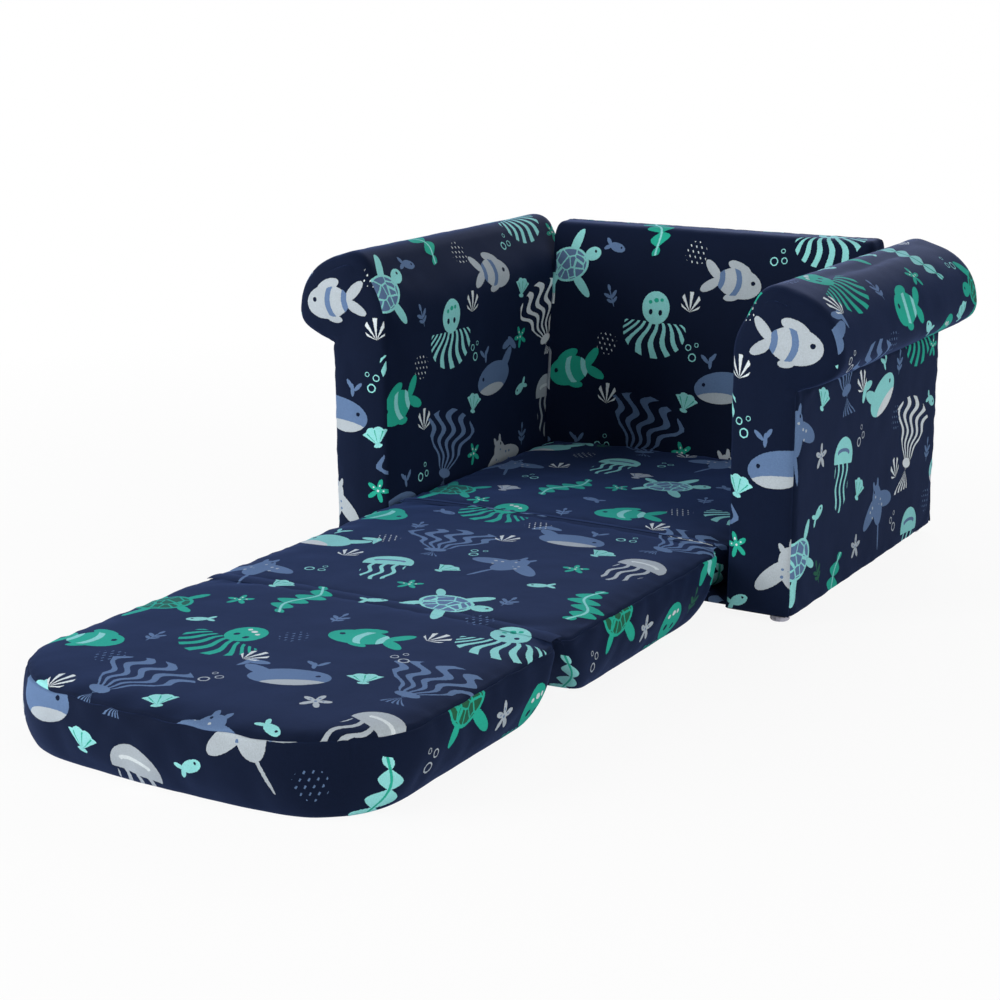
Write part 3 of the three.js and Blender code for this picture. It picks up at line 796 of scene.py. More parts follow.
def cloth_band(name, section, half):
    """Thin cloth of one section in y and z, from side to side between the two arms."""
    ring = len(section)
    middle = sum(y for y, _ in section) / ring
    points, quads, uvs = [], [], []
    for x in np.linspace(-half, half, BAND_COLUMNS):
        wave = RIPPLE * noise.noise(Vector((x * RIPPLE_SCALE, RIPPLE_SEED, 0.0)))
        points += [(x, y + (wave if y < middle else 0), z) for y, z in section]
    for i in range(BAND_COLUMNS - 1):
        for k in range(ring):
            n = (k + 1) % ring
            cells = [i * ring + k, i * ring + n, (i + 1) * ring + n, (i + 1) * ring + k]
            quads.append(cells)
            uvs += [(points[c][0], points[c][2] + points[c][1]) for c in cells]
    for cells in (list(range(ring)), [len(points) - ring + k for k in reversed(range(ring))]):
        quads.append(cells)
        uvs += [(points[c][1], points[c][2]) for c in cells]
    band = smooth_mesh(name, points, quads, uvs)
    face_outward(band)
    return band


def base_aprons():
    """Cloth over the front edge and the top of the base board, and over its rear edge."""
    low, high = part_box("base_board")
    skin, bend = APRON_SKIN, APRON_BEND
    back, front = low[1] - skin, low[1] - APRON_OUT
    bottom, top, under = low[2] + skin, DECK - APRON_HAIR, high[2] + APRON_HAIR
    far = corner("seat_pad_cover", 1, 1) - APRON_SHORT
    front_band = cloth_band("base_apron", [
        (far, under), (far, top), (front + bend, top), (front, top - bend),
        (front, (top + bottom) / 2), (front, bottom + bend), (front + bend, bottom),
        (back, bottom), (back, under)], ARM_INNER - APRON_INSET)
    near, out = high[1] + skin, corner("back_outside_cover", 1, 1) + REAR_APRON_OUT
    over = DECK - REAR_APRON_DROP
    rear_band = cloth_band("base_rear_apron", [
        (near, bottom), (near, over), (out - bend, over), (out, over - bend),
        (out, (over + bottom) / 2), (out, bottom + bend), (out - bend, bottom)],
        ARM_INNER - REAR_APRON_INSET)
    return front_band, rear_band


# Arms and backrest

# Corners of a roll's outline, as shares of its width and height
TOP_ACROSS = 0.29
INSIDE_RISE, TOP_RISE, OUTER_RISE, LIP_RISE = 0.455, 1.0435, 0.783, 0.2
ARM_FINE = [0, 0.002, 0.005, 0.009, 0.015]  # mesh places beside an outline's ends
ARM_TOP_HALF, ARM_TOP_POINTS = 0.017, 10
OVER_CELL_SHARE = 0.8
NEAR_INSIDE, OFF_INSIDE = 0.03, 0.01  # reach from the inside face in which a corner is looked for
BACK_FINE = [0, 0.002, 0.005, 0.009]
BACK_TOP_HALF, BACK_TOP_POINTS = 0.008, 6
BACK_TOP_SHIFT = 0.006  # from the highest point of the backrest to the middle of its top
BACK_TOP_DEPTH = 0.043
BACK_END_FINE, BACK_END_STEP = [0, 0.0015, 0.0033], 0.004  # mesh places by an end's rounding
LEAN_START, LEAN_RADIUS = 0.075, 0.04  # where the backrest's front begins to lean
REAR_SEAM_POINTS = 2  # outline points between the top's end and the seam behind it
FACING_NEAR_SHARE = 0.35  # of a facing's depth, where its first mesh row lies
FACING_STEPS = (0.003, 0.007, 0.011, 0.016, 0.023)  # mesh rows behind a facing's seam
FACING_DOMES = (0.003, 0.002)  # how far the front and rear facing bulge
SOFT_SEAM = 0.008  # a facing's seam counts as at least so far off, so that it stays shallow
HELD_REACH = 0.001  # distance from a seam within which a cover is held
ROUND_START, ROUND_RISE = -0.012, 0.055  # height over the crease in which the rounding grows
FOOT_RISE, FOOT_SHARE = 0.02, 0.3  # the rounding's share at the floor, and how soon it is whole


def arm_chains():
    """Outline of an arm as four chains, and how many cells stand under its crease outside."""
    shape = bpy.context.scene.sofa_shell
    width, height = ROLL_OUTER - ARM_INNER, shape.roll_height
    outer = ARM_INNER + shape.arm_width
    line = rounded([
        (ARM_INNER, ARM_BOTTOM, 0),
        (ARM_INNER, CREASE + INSIDE_RISE * height, shape.inner_radius),
        (ARM_INNER + TOP_ACROSS * width, CREASE + TOP_RISE * height, shape.top_radius),
        (ROLL_OUTER, CREASE + OUTER_RISE * height, shape.outer_radius),
        (ROLL_OUTER, CREASE + LIP_RISE * height, shape.lip_radius),
        (outer, CREASE, shape.crease_radius),
        (outer, ARM_BOTTOM, 0),
    ])
    along = lengths_along(line)
    x, z = line[:, 0], line[:, 1]
    from_crease = np.where(x > ARM_INNER + OFF_INSIDE, np.hypot(x - outer, z - CREASE), np.inf)
    from_knee = np.where(x < ARM_INNER + NEAR_INSIDE, abs(z - CREASE), np.inf)
    apex, crease, knee = (
        along[int(place)] for place in (np.argmax(z), np.argmin(from_crease), np.argmin(from_knee)))
    below = stations(along[-1] - crease, ARM_FINE, shape.cell)
    over = stations(crease - apex - ARM_TOP_HALF, ARM_FINE, shape.cell * OVER_CELL_SHARE)
    far = np.concatenate([apex + ARM_TOP_HALF + over, (crease + below)[1:]])
    rest = knee + (apex - ARM_TOP_HALF - knee) * (1 - over[::-1] / over[-1])
    rising = knee * (1 - np.flip(below) / below[-1])
    face = np.concatenate([rising, rest[1:]])
    top = np.linspace(apex - ARM_TOP_HALF, apex + ARM_TOP_HALF, ARM_TOP_POINTS)
    chains = [resample(line, places) for places in (face, top, far)]
    chains.append(np.linspace(line[-1], line[0], ARM_TOP_POINTS))
    return chains, len(below) - 1


def outline_of(chains):
    """One closed outline from its chains, and how far along it each point lies."""
    outline = np.concatenate([chain[:-1] for chain in chains])
    return outline, lengths_along(np.concatenate([outline, outline[:1]]))


def make_arm(side_name, side, seed):
    """One rolled arm: wrap, outside panel and two facings, from one inflated cover."""
    shape = bpy.context.scene.sofa_shell
    chains, lower = arm_chains()
    depth = ARM_REAR - ARM_FRONT
    faces, tops, fars = (len(chain) - 1 for chain in chains[:3])
    bottom_at = faces + tops + fars
    crease_at = bottom_at - lower
    front_seam = shape.facing
    rear_seam = depth - shape.facing
    outline, along = outline_of(chains)

    def place(x, z, level):
        return (side * x, ARM_FRONT + level, z)

    def seams(i, level):
        """Distance to the nearest seam: a facing's or the crease's."""
        ends = min(abs(level - front_seam), abs(level - rear_seam))
        if i < crease_at:
            ends = max(ends, SOFT_SEAM)
        return min(ends, abs(along[i] - along[crease_at]))

    fine = [0, shape.facing * FACING_NEAR_SHARE, shape.facing]
    fine += [shape.facing + step for step in FACING_STEPS]
    high = np.clip((outline[:, 1] - CREASE - ROUND_START) / ROUND_RISE, 0, 1)
    high = high * high * (3 - 2 * high)
    low = np.clip((outline[:, 1] - ARM_BOTTOM) / FOOT_RISE, 0, 1)
    base = shape.edge_round * (FOOT_SHARE + (1 - FOOT_SHARE) * low)
    rounds = [base + (peak - shape.edge_round) * high
              for peak in (shape.front_round, shape.rear_round)]
    obj, panel, count = bolster(
        f"{side_name}_arm_body", chains, depth, rounds, (shape.facing, shape.facing), fine,
        shape.cell, FACING_DOMES, place, seams)
    held = np.zeros(len(obj.data.vertices))
    for j, level in enumerate(stations(depth, fine, shape.cell)):
        for i in range(count):
            at_bottom = i >= bottom_at or i == 0
            held[j * count + i] = 1.0 if at_bottom or seams(i, level) < HELD_REACH else 0.0
    inflate(obj, held, bpy.context.scene.sofa_cloth.shell_cap)

    def piece_of(kind, i, level):
        """Number of the cloth piece that a face belongs to, below 0 for none."""
        if kind == BOTTOM:
            return -1
        if level < front_seam:
            return 2
        if level > rear_seam:
            return 3
        return 1 if kind == FAR and i >= crease_at else 0

    cut_cover(obj, panel, piece_of, seed, ARM_BOTTOM, CREASE, [
        (f"{side_name}_arm_wrap", (f"{side_name}_arm_wrap_cover", f"{side_name}_arm_foam"),
         side > 0, (0.031, 0.012)),
        (f"{side_name}_arm_outside", (f"{side_name}_arm_outside_cover",), True, (0.06, 0.02)),
        (f"{side_name}_arm_front_facing", (f"{side_name}_arm_front_facing",), False, (0.0, 0.01)),
        (f"{side_name}_arm_rear_facing", (f"{side_name}_arm_rear_facing",), False, (0.05, 0.03))])


def cut_cover(obj, panel, piece_of, seed, lowest, above, pieces):
    """Sews a cover and cuts it into its cloth pieces, each dressed and tied to the shell.

    A piece is its name, the CAD nodes it stands for, whether its print is turned, and the
    shift of its print.
    """
    numbers = [piece_of(kind, i, level) for kind, i, level in panel]
    subdivide(obj)
    sew(obj, seed, lowest, bpy.context.scene.sofa_shell.fullness, above)
    names = [name for name, *_ in pieces]
    parts = panels_of(obj, names, np.repeat(numbers, FACES_PER_FACE))
    for part, (_, nodes, turned, shift) in zip(parts, pieces):
        lay_print(part, turned, shift)
        dress(part, "printed_velour")
        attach(part, "sofa_shell")
        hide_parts(*nodes)


def lay_print(piece, turned, shift):
    """Shifts a piece's print, and turns it where its figures would stand on their heads."""
    layer = piece.data.uv_layers[UV_NAME]
    uvs = np.empty(len(layer.data) * 2, dtype=np.float32)
    layer.data.foreach_get("uv", uvs)
    uvs = uvs.reshape(-1, 2)
    uvs = (-uvs if turned else uvs) + np.array(shift, dtype=np.float32)
    layer.data.foreach_set("uv", uvs.ravel())


def make_back(seed):
    """Backrest: cover over front, top and ends, and the outside cover behind."""
    shape = bpy.context.scene.sofa_shell
    low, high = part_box("back_cover")
    rear = corner("back_outside_cover", 1, 1)
    line = rounded([
        (low[1], low[2], 0),
        (low[1], LEAN_START, LEAN_RADIUS),
        (rear - BACK_TOP_DEPTH, high[2], shape.back_top_radius),
        (rear, high[2], shape.back_rear_radius),
        (rear, low[2], 0),
    ])
    along = lengths_along(line)
    apex = along[int(np.argmax(line[:, 1]))] + BACK_TOP_SHIFT
    face = stations(apex - BACK_TOP_HALF, BACK_FINE, shape.cell)
    far = stations(along[-1] - apex - BACK_TOP_HALF, BACK_FINE, shape.cell)
    far = apex + BACK_TOP_HALF + far
    rows = max(len(face), len(far))
    face, far = (np.interp(np.linspace(0, 1, rows), np.linspace(0, 1, len(places)), places)
                 for places in (face, far))
    top = np.linspace(apex - BACK_TOP_HALF, apex + BACK_TOP_HALF, BACK_TOP_POINTS)
    chains = [resample(line, places) for places in (face, top, far)]
    chains.append(np.linspace(line[-1], line[0], BACK_TOP_POINTS))
    outline, lengths = outline_of(chains)
    faces, tops, fars = (len(chain) - 1 for chain in chains[:3])
    rear_at = faces + tops + REAR_SEAM_POINTS
    bottom_at = faces + tops + fars

    def place(y, height, level):
        return (low[0] + level, y, height)

    def seams(i, level):
        """Distance to the seam along the rear edge of the top."""
        return min(abs(lengths[i] - lengths[rear_at]), NO_SEAM)

    width = high[0] - low[0]
    fine = BACK_END_FINE + [shape.back_round, shape.back_round + BACK_END_STEP]
    rounds = np.full(len(outline), shape.back_round)
    obj, panel, count = bolster(
        "backrest_body", chains, width, (rounds, rounds), (shape.back_round, shape.back_round),
        fine, shape.cell, (0.0, 0.0), place, seams)
    held = np.zeros(len(obj.data.vertices))
    for j in range(len(stations(width, fine, shape.cell))):
        for i in range(count):
            held[j * count + i] = 1.0 if i >= bottom_at or i in (0, rear_at) else 0.0
    inflate(obj, held, bpy.context.scene.sofa_cloth.shell_cap)

    def piece_of(kind, i, level):
        """Number of the cloth piece that a face belongs to, below 0 for none."""
        if kind == BOTTOM:
            return -1
        return 1 if kind == FAR and i >= rear_at else 0

    cut_cover(obj, panel, piece_of, seed, low[2], 0.0, [
        ("backrest_cover", ("back_cover", "back_foam"), False, (0.02, 0.03)),
        ("backrest_outside", ("back_outside_cover",), True, (0.0, 0.0))])


# Shader nodes

WHITE = (1, 1, 1, 1)


class Term:
    """A node's output, with which sums are written as with a number."""

    def __init__(self, sheet, socket):
        self.sheet = sheet
        self.socket = socket

    def __add__(self, other):
        return self.sheet.math("ADD", self, other)

    def __radd__(self, other):
        return self.sheet.math("ADD", other, self)

    def __sub__(self, other):
        return self.sheet.math("SUBTRACT", self, other)

    def __rsub__(self, other):
        return self.sheet.math("SUBTRACT", other, self)

    def __mul__(self, other):
        return self.sheet.math("MULTIPLY", self, other)

    def __truediv__(self, other):
        return self.sheet.math("DIVIDE", self, other)

    def __abs__(self):
        return self.sheet.math("ABSOLUTE", self)


class Sheet:
    """A node tree to which nodes are added by their inputs."""

    def __init__(self, owner):
        """Takes a new node group, or a material or a world, which it empties."""
        if not isinstance(owner, bpy.types.NodeTree):
            owner.use_nodes = True
            owner = owner.node_tree
            owner.nodes.clear()
        self.tree = owner

    def new(self, kind, inputs=None, **settings):
        """New node with its settings, and its inputs linked or set by name or number."""
        node = self.tree.nodes.new(kind)
        for key, value in settings.items():
            setattr(node, key, value)
        for key, value in (inputs or {}).items():
            if isinstance(value, Term):
                self.tree.links.new(value.socket, node.inputs[key])
            else:
                node.inputs[key].default_value = value
        return node

    def term(self, kind, inputs=None, output=0, **settings):
        """One output of a new node."""
        return Term(self, self.new(kind, inputs, **settings).outputs[output])

    def math(self, operation, *values):
        return self.term("ShaderNodeMath", dict(enumerate(values)), operation=operation)

    def vector(self, operation, *values):
        output = "Value" if operation == "LENGTH" else "Vector"
        return self.term(
            "ShaderNodeVectorMath", dict(enumerate(values)), output, operation=operation)

    def sine(self, value):
        return self.math("SINE", value)

    def cosine(self, value):
        return self.math("COSINE", value)

    def floor(self, value):
        return self.math("FLOOR", value)

    def part(self, value):
        """What a value has over its whole number, less a half."""
        return self.math("FRACT", value) - 0.5

    def rest(self, value, divisor):
        return self.math("FLOORED_MODULO", value, divisor)

    def most(self, whole, *others):
        for other in others:
            whole = self.math("MAXIMUM", whole, other)
        return whole

    def union(self, whole, *others):
        """Distance from a shape that is made of several, the least of theirs."""
        for other in others:
            whole = self.math("MINIMUM", whole, other)
        return whole

    def inside(self, distance):
        """1 inside a shape, where its distance is under 1."""
        return self.math("LESS_THAN", distance, 1.0)

    def split(self, value):
        node = self.new("ShaderNodeSeparateXYZ", {0: value})
        return [Term(self, socket) for socket in node.outputs]

    def join(self, x=0.0, y=0.0, z=0.0):
        return self.term("ShaderNodeCombineXYZ", {0: x, 1: y, 2: z})

    def polar(self, x, y):
        """Angle from the upright, and distance, of a place."""
        return self.math("ARCTAN2", x, y), self.vector("LENGTH", self.join(x, y))

    def blob(self, place, x, y, rx, ry, turn=0.0):
        """Distance of a place from an ellipse's middle, 1 on the ellipse."""
        return self.vector("LENGTH", self.term(
            "ShaderNodeMapping",
            {"Vector": place, "Location": (x, y, 0), "Rotation": (0, 0, math.radians(turn)),
             "Scale": (rx, ry, 1)}, vector_type="TEXTURE"))

    def blobs(self, place, table):
        return self.union(*(self.blob(place, *row) for row in table))

    def solid(self):
        """Place on the object, in metres."""
        return self.term("ShaderNodeTexCoord", output="Object")

    def stretched(self, place, *scale):
        return self.vector("MULTIPLY", place, scale)

    def noise(self, place, scale, detail=2.0, roughness=0.5, output=0):
        return self.term("ShaderNodeTexNoise", {
            "Vector": place, "Scale": scale, "Detail": detail, "Roughness": roughness}, output)

    def cells(self, place, scale, feature="F1", randomness=1.0):
        """Distance to the middle or the edge of irregular cells."""
        return self.term(
            "ShaderNodeTexVoronoi", {"Vector": place, "Scale": scale, "Randomness": randomness},
            "Distance", feature=feature)

    def blend(self, share, a, b, mode="MIX"):
        """One colour laid over another by a share."""
        return self.term(
            "ShaderNodeMix", {0: share, 6: a, 7: b}, 2, data_type="RGBA", blend_type=mode)

    def choose(self, share, a, b):
        """One vector or the other."""
        return self.term("ShaderNodeMix", {0: share, 4: a, 5: b}, 1, data_type="VECTOR")

    def steps(self, value, colours):
        """One colour of a list, chosen by a value from 0 to 1."""
        node = self.new("ShaderNodeValToRGB", {0: value})
        ramp = node.color_ramp
        ramp.interpolation = "CONSTANT"
        while len(ramp.elements) < len(colours):
            ramp.elements.new(1.0)
        for i, colour in enumerate(colours):
            ramp.elements[i].position = i / len(colours)
            ramp.elements[i].color = (*colour, 1)
        return Term(self, node.outputs[0])

    def bump(self, height, distance, strength=1.0):
        return self.term("ShaderNodeBump", {
            "Strength": strength, "Distance": distance, "Height": height})

    def show(self, shader, kind="Material"):
        """Makes a shader the tree's output."""
        self.new(f"ShaderNodeOutput{kind}", {0: shader})


# Figures of the print, in their own units: 1 is half a figure's size, y points up.
# Blobs are (x, y, half length, half height, turn in degrees).
WHALE_BODY = [(0.12, -0.08, 0.78, 0.42, 4), (-0.55, 0.16, 0.42, 0.15, -36),
              (-0.96, 0.5, 0.26, 0.1, 52), (-0.72, 0.56, 0.25, 0.1, -8)]
WHALE_BELLY = (0.3, -0.36, 0.62, 0.17, 8)
WHALE_SPOUT = [(0.36, 0.6, 0.05, 0.16, 12), (0.27, 0.72, 0.05, 0.15, 48),
               (0.5, 0.72, 0.05, 0.15, -36)]
WHALE_EYE = (0.62, 0.06, 0.05, 0.05)
FISH_BODY = [(0.12, 0, 0.62, 0.4, 0), (-0.66, 0.2, 0.32, 0.13, -40),
             (-0.66, -0.2, 0.32, 0.13, 40), (0.05, 0.4, 0.34, 0.14, -14),
             (-0.02, -0.4, 0.22, 0.1, 18)]
FISH_STRIPED = (-0.08, 0, 0.42, 0.36)
FISH_EYE = (0.5, 0.08, 0.06, 0.06)
TURTLE_SKIN = [(0.78, 0.2, 0.24, 0.18, 14), (0.32, 0.56, 0.4, 0.13, 58),
               (0.3, -0.58, 0.42, 0.13, -60), (-0.56, 0.44, 0.26, 0.1, -44),
               (-0.58, -0.4, 0.26, 0.1, 44)]
TURTLE_SHELL = (0, 0, 0.62, 0.46, 4)
TURTLE_EYE = (0.86, 0.26, 0.035, 0.04)
RAY_BODY = [(0.0, 0.12, 0.3, 0.52, 0), (0.42, 0.1, 0.55, 0.2, -24),
            (-0.42, 0.1, 0.55, 0.2, 24), (0.11, 0.62, 0.06, 0.16, -12),
            (-0.11, 0.62, 0.06, 0.16, 12), (0.05, -0.62, 0.04, 0.42, 8)]
RAY_SPOTTED = (0, 0.12, 0.5, 0.3)
RAY_EYE = (0.12, 0.5, 0.03, 0.04)
OCTOPUS_HEAD = (0, 0.42, 0.4, 0.44, 0)
OCTOPUS_ARMS = (0, -0.2, 0.92, 0.72)
OCTOPUS_EYES = [(-0.14, 0.3, 0.055, 0.075, 0), (0.14, 0.3, 0.055, 0.075, 0)]
OCTOPUS_SPOTS = [(0.0, 0.62, 0.07, 0.06, 0), (0.17, 0.56, 0.05, 0.05, 0),
                 (-0.16, 0.64, 0.05, 0.05, 0)]
CORAL_FOOT = (0, -0.82, 0.26, 0.12)
JELLY_DOME = (0, 0.28, 0.56, 0.5, 0)
JELLY_TRAIL = (0, -0.1, 0.46, 0.86)
JELLY_BAND, JELLY_BAND_GAP = (0, 0.42, 0.36, 0.1), (0, 0.36, 0.3, 0.08)
STAR_DOTS = [(0, 0, 0.09, 0.09, 0), (0, 0.42, 0.06, 0.09, 0), (0.4, 0.13, 0.07, 0.06, 0),
             (-0.4, 0.13, 0.07, 0.06, 0)]
SHELL_FOOT = (0, -0.62, 0.34, 0.16)
FRY_BODY = [(0.15, 0, 0.7, 0.36, 0), (-0.68, 0.22, 0.36, 0.16, -40),
            (-0.68, -0.22, 0.36, 0.16, 40)]
FRY_EYE = (0.5, 0.08, 0.09, 0.09)
BUBBLE_RINGS = [(-0.35, -0.4, 0.34, 0.34, 0), (0.35, 0.1, 0.26, 0.26, 0),
                (-0.15, 0.65, 0.18, 0.18, 0)]
DASH_FIELD = (0, 0, 0.95, 0.95)
SPRIG_LEAVES = [(0, -0.1, 0.06, 0.8, 0), (0.3, 0.1, 0.38, 0.14, 42),
                (-0.3, 0.1, 0.38, 0.14, -42), (0.24, -0.35, 0.3, 0.12, 40),
                (-0.24, -0.35, 0.3, 0.12, -40), (0, 0.72, 0.13, 0.28, 0)]

# Each figure is drawn on a sheet s at a place p. It gives up to three shapes, each as a distance
# that is under 1 inside: the figure, its marks, and small details in the ground's colour. The
# numbers in a drawing are rates and thresholds chosen in the figure's own units.


def draw_whale(s, p):
    body = s.blobs(p, WHALE_BODY)
    belly = s.most(s.blob(p, *WHALE_BELLY), body)
    return s.union(body, s.blobs(p, WHALE_SPOUT)), belly, s.blob(p, *WHALE_EYE)


def draw_fish(s, p):
    x, y, _ = s.split(p)
    stripes = 1.35 - s.sine((x + y * y) * 13.0)
    return s.blobs(p, FISH_BODY), s.most(stripes * 1.2, s.blob(p, *FISH_STRIPED)), \
        s.blob(p, *FISH_EYE)


def draw_turtle(s, p):
    shell = s.blob(p, *TURTLE_SHELL)
    joints = s.cells(p, scale=3.6, feature="DISTANCE_TO_EDGE") * 16.0
    plates = s.most(2.0 - joints, shell * 1.14)
    return s.union(shell, s.blobs(p, TURTLE_SKIN)), plates, s.blob(p, *TURTLE_EYE)


def draw_ray(s, p):
    spots = s.cells(p, scale=6.5) * 4.2
    return s.blobs(p, RAY_BODY), s.most(spots, s.blob(p, *RAY_SPOTTED)), s.blob(p, *RAY_EYE)


def draw_octopus(s, p):
    x, y, _ = s.split(p)
    low = 0.2 - y
    fan = (x + s.sine(low * 6.5) * 0.07) / (low + 0.42)
    arms = s.most(1.15 - s.cosine(fan * 21.0), s.blob(p, *OCTOPUS_ARMS), 1.16 - low)
    head = s.blob(p, *OCTOPUS_HEAD)
    return s.union(head, arms), s.blobs(p, OCTOPUS_SPOTS), s.blobs(p, OCTOPUS_EYES)


def draw_kelp(s, p):
    x, y, _ = s.split(p)
    off = abs(x + s.sine(y * 4.2) * 0.14)
    leaf = abs(s.sine(y * 8.5)) * 0.3 + 0.05
    length = abs(y) * 1.06
    blade = off / (leaf * (1.05 - y * y * 0.9))
    return s.most(blade, length), s.most(off * 34.0, length)


def draw_coral(s, p):
    x, y, _ = s.split(p)
    up = y + 0.95
    reach = s.vector("LENGTH", s.join(x, up)) * 0.56
    angle = x / (up + 0.05)
    teeth = s.cosine((angle + s.sine(up * 9.0) * 0.12) * 17.0)
    branch = s.most(1.2 - teeth, reach, abs(angle) * 1.15)
    return (s.union(branch, s.blob(p, *CORAL_FOOT)),)


def draw_jelly(s, p):
    x, y, _ = s.split(p)
    dome = s.most(s.blob(p, *JELLY_DOME), 1.16 - y)
    low = 0.2 - y
    comb = s.cosine((x + s.sine(low * 8.0) * 0.06) * 24.0)
    trail = s.most(1.45 - comb, s.blob(p, *JELLY_TRAIL), 1.0 - low)
    band = s.most(s.blob(p, *JELLY_BAND), 2.0 - s.blob(p, *JELLY_BAND_GAP))
    return s.union(dome, trail), band


def draw_star(s, p):
    angle, reach = s.polar(*s.split(p)[:2])
    return reach / (s.cosine(angle * 5.0) * 0.34 + 0.58), s.blobs(p, STAR_DOTS)


def draw_shell(s, p):
    x, y, _ = s.split(p)
    angle, reach = s.polar(x, y + 0.62)
    edge = abs(s.sine(angle * 5.5)) * 0.12 + 1.32
    fan = s.most(reach / edge, abs(angle) * 1.25)
    ribs = s.most(1.9 - s.cosine(angle * 11.0), fan * 1.12)
    return s.union(fan, s.blob(p, *SHELL_FOOT)), ribs


def draw_bubbles(s, p):
    rings = s.blobs(p, BUBBLE_RINGS)
    return (s.most(rings, 1.72 - rings),)


def draw_fry(s, p):
    return s.blobs(p, FRY_BODY), s.blob(p, *FRY_EYE)


def draw_dashes(s, p):
    x, y, _ = s.split(p)
    across = x * 2.6
    down = abs(s.part(y * 2.1 + s.floor(across) * 0.5))
    return (s.most(down * 5.2, abs(s.part(across)) * 9.0, s.blob(p, *DASH_FIELD)),)


def draw_fan(s, p):
    x, y, _ = s.split(p)
    angle, reach = s.polar(x, y + 0.8)
    blade = 1.3 - s.cosine(angle * 12.0)
    far = s.cosine(angle * 1.2) * 1.1 + 0.55
    return (s.most(blade, reach / far, abs(angle) * 0.8),)


def draw_sprig(s, p):
    return (s.blobs(p, SPRIG_LEAVES),)


# Each figure: how it is drawn, and the inks of the figure and its marks in two versions
LARGE_FIGURES = [
    (draw_whale, ("slate", "grey"), ("mint", "white")),
    (draw_kelp, ("teal", "mint"), ("mint", "teal")),
    (draw_fish, ("teal", "mint"), ("grey", "slate")),
    (draw_jelly, ("mint", "slate"), ("grey", "white")),
    (draw_turtle, ("teal", "green"), ("mint", "slate")),
    (draw_coral, ("white", "white"), ("slate", "slate")),
    (draw_ray, ("grey", "slate"), ("slate", "grey")),
    (draw_octopus, ("mint", "teal"), ("teal", "white")),
]
SMALL_FIGURES = [
    (draw_fan, ("white", "white"), ("white", "white")),
    (draw_star, ("teal", "white"), ("grey", "slate")),
    (draw_dashes, ("white", "white"), ("slate", "slate")),
    (draw_shell, ("grey", "slate"), ("mint", "teal")),
    (draw_sprig, ("green", "green"), ("slate", "slate")),
    (draw_bubbles, ("grey", "grey"), ("mint", "mint")),
    (draw_fry, ("mint", "navy"), ("slate", "navy")),
]
SHIFT_ACROSS, SHIFT_UP = 0.16, 0.12  # how far a figure strays from its place in the grid
LARGE_TILT, SMALL_TILT = 0.3, 0.5  # how far a figure turns, in radians
KIND_MARGIN = 0.2  # figures are told apart by whole numbers, read with this margin


def figure_group(draw):
    """Node group that turns a place on a figure into its marks, one per ink."""
    tree = bpy.data.node_groups.new(draw.__name__, "ShaderNodeTree")
    tree.interface.new_socket("Place", in_out="INPUT", socket_type="NodeSocketVector")
    tree.interface.new_socket("Marks", in_out="OUTPUT", socket_type="NodeSocketVector")
    s = Sheet(tree)
    shapes = draw(s, s.term("NodeGroupInput"))
    s.new("NodeGroupOutput", {0: s.join(*(s.inside(shape) for shape in shapes))})
    return tree


def place_figures(s, place, table, row, size, drop, tilt):
    """Repeats the figures of a table in columns. Returns marks and the two ink colours."""
    colours = bpy.context.scene.sofa_print
    column = colours.column
    x, y, _ = s.split(place)
    across, up = x / column, y / row
    i = s.floor(across)
    if drop:
        up = up + s.rest(i, 2.0) * 0.5
    j = s.floor(up)
    count = float(len(table))
    kind = s.rest(i * 3.0 + j * 2.0, count)
    version = s.rest(i + s.floor(j * 0.5), 2.0)
    flip = 1.0 - s.rest(i + j, 2.0) * 2.0
    swing = s.sine(i * 2.3 + j * 4.1)
    sway = s.sine(i * 5.7 + j * 1.9)
    px = (s.part(across) * (column / size) + swing * SHIFT_ACROSS) * flip
    py = s.part(up) * (row / size) + sway * SHIFT_UP
    turned = s.term(
        "ShaderNodeVectorRotate", {"Vector": s.join(px, py), "Angle": sway * tilt},
        rotation_type="Z_AXIS")
    for number, (draw, *_) in enumerate(table):
        figure = s.term("ShaderNodeGroup", {0: turned}, node_tree=figure_group(draw))
        if number:
            chosen = s.math("COMPARE", kind, float(number), KIND_MARGIN)
            marks = s.choose(chosen, marks, figure)
        else:
            marks = figure
    pick = (kind + version * count + 0.5) / (2 * count)

    def inks(part):
        """Inks of all figures' first versions, then of their second ones."""
        return [tuple(getattr(colours, row[v][part])) for v in (1, 2) for row in table]

    return marks, s.steps(pick, inks(0)), s.steps(pick, inks(1))


# Finishes: each gives the inputs of its Principled shader


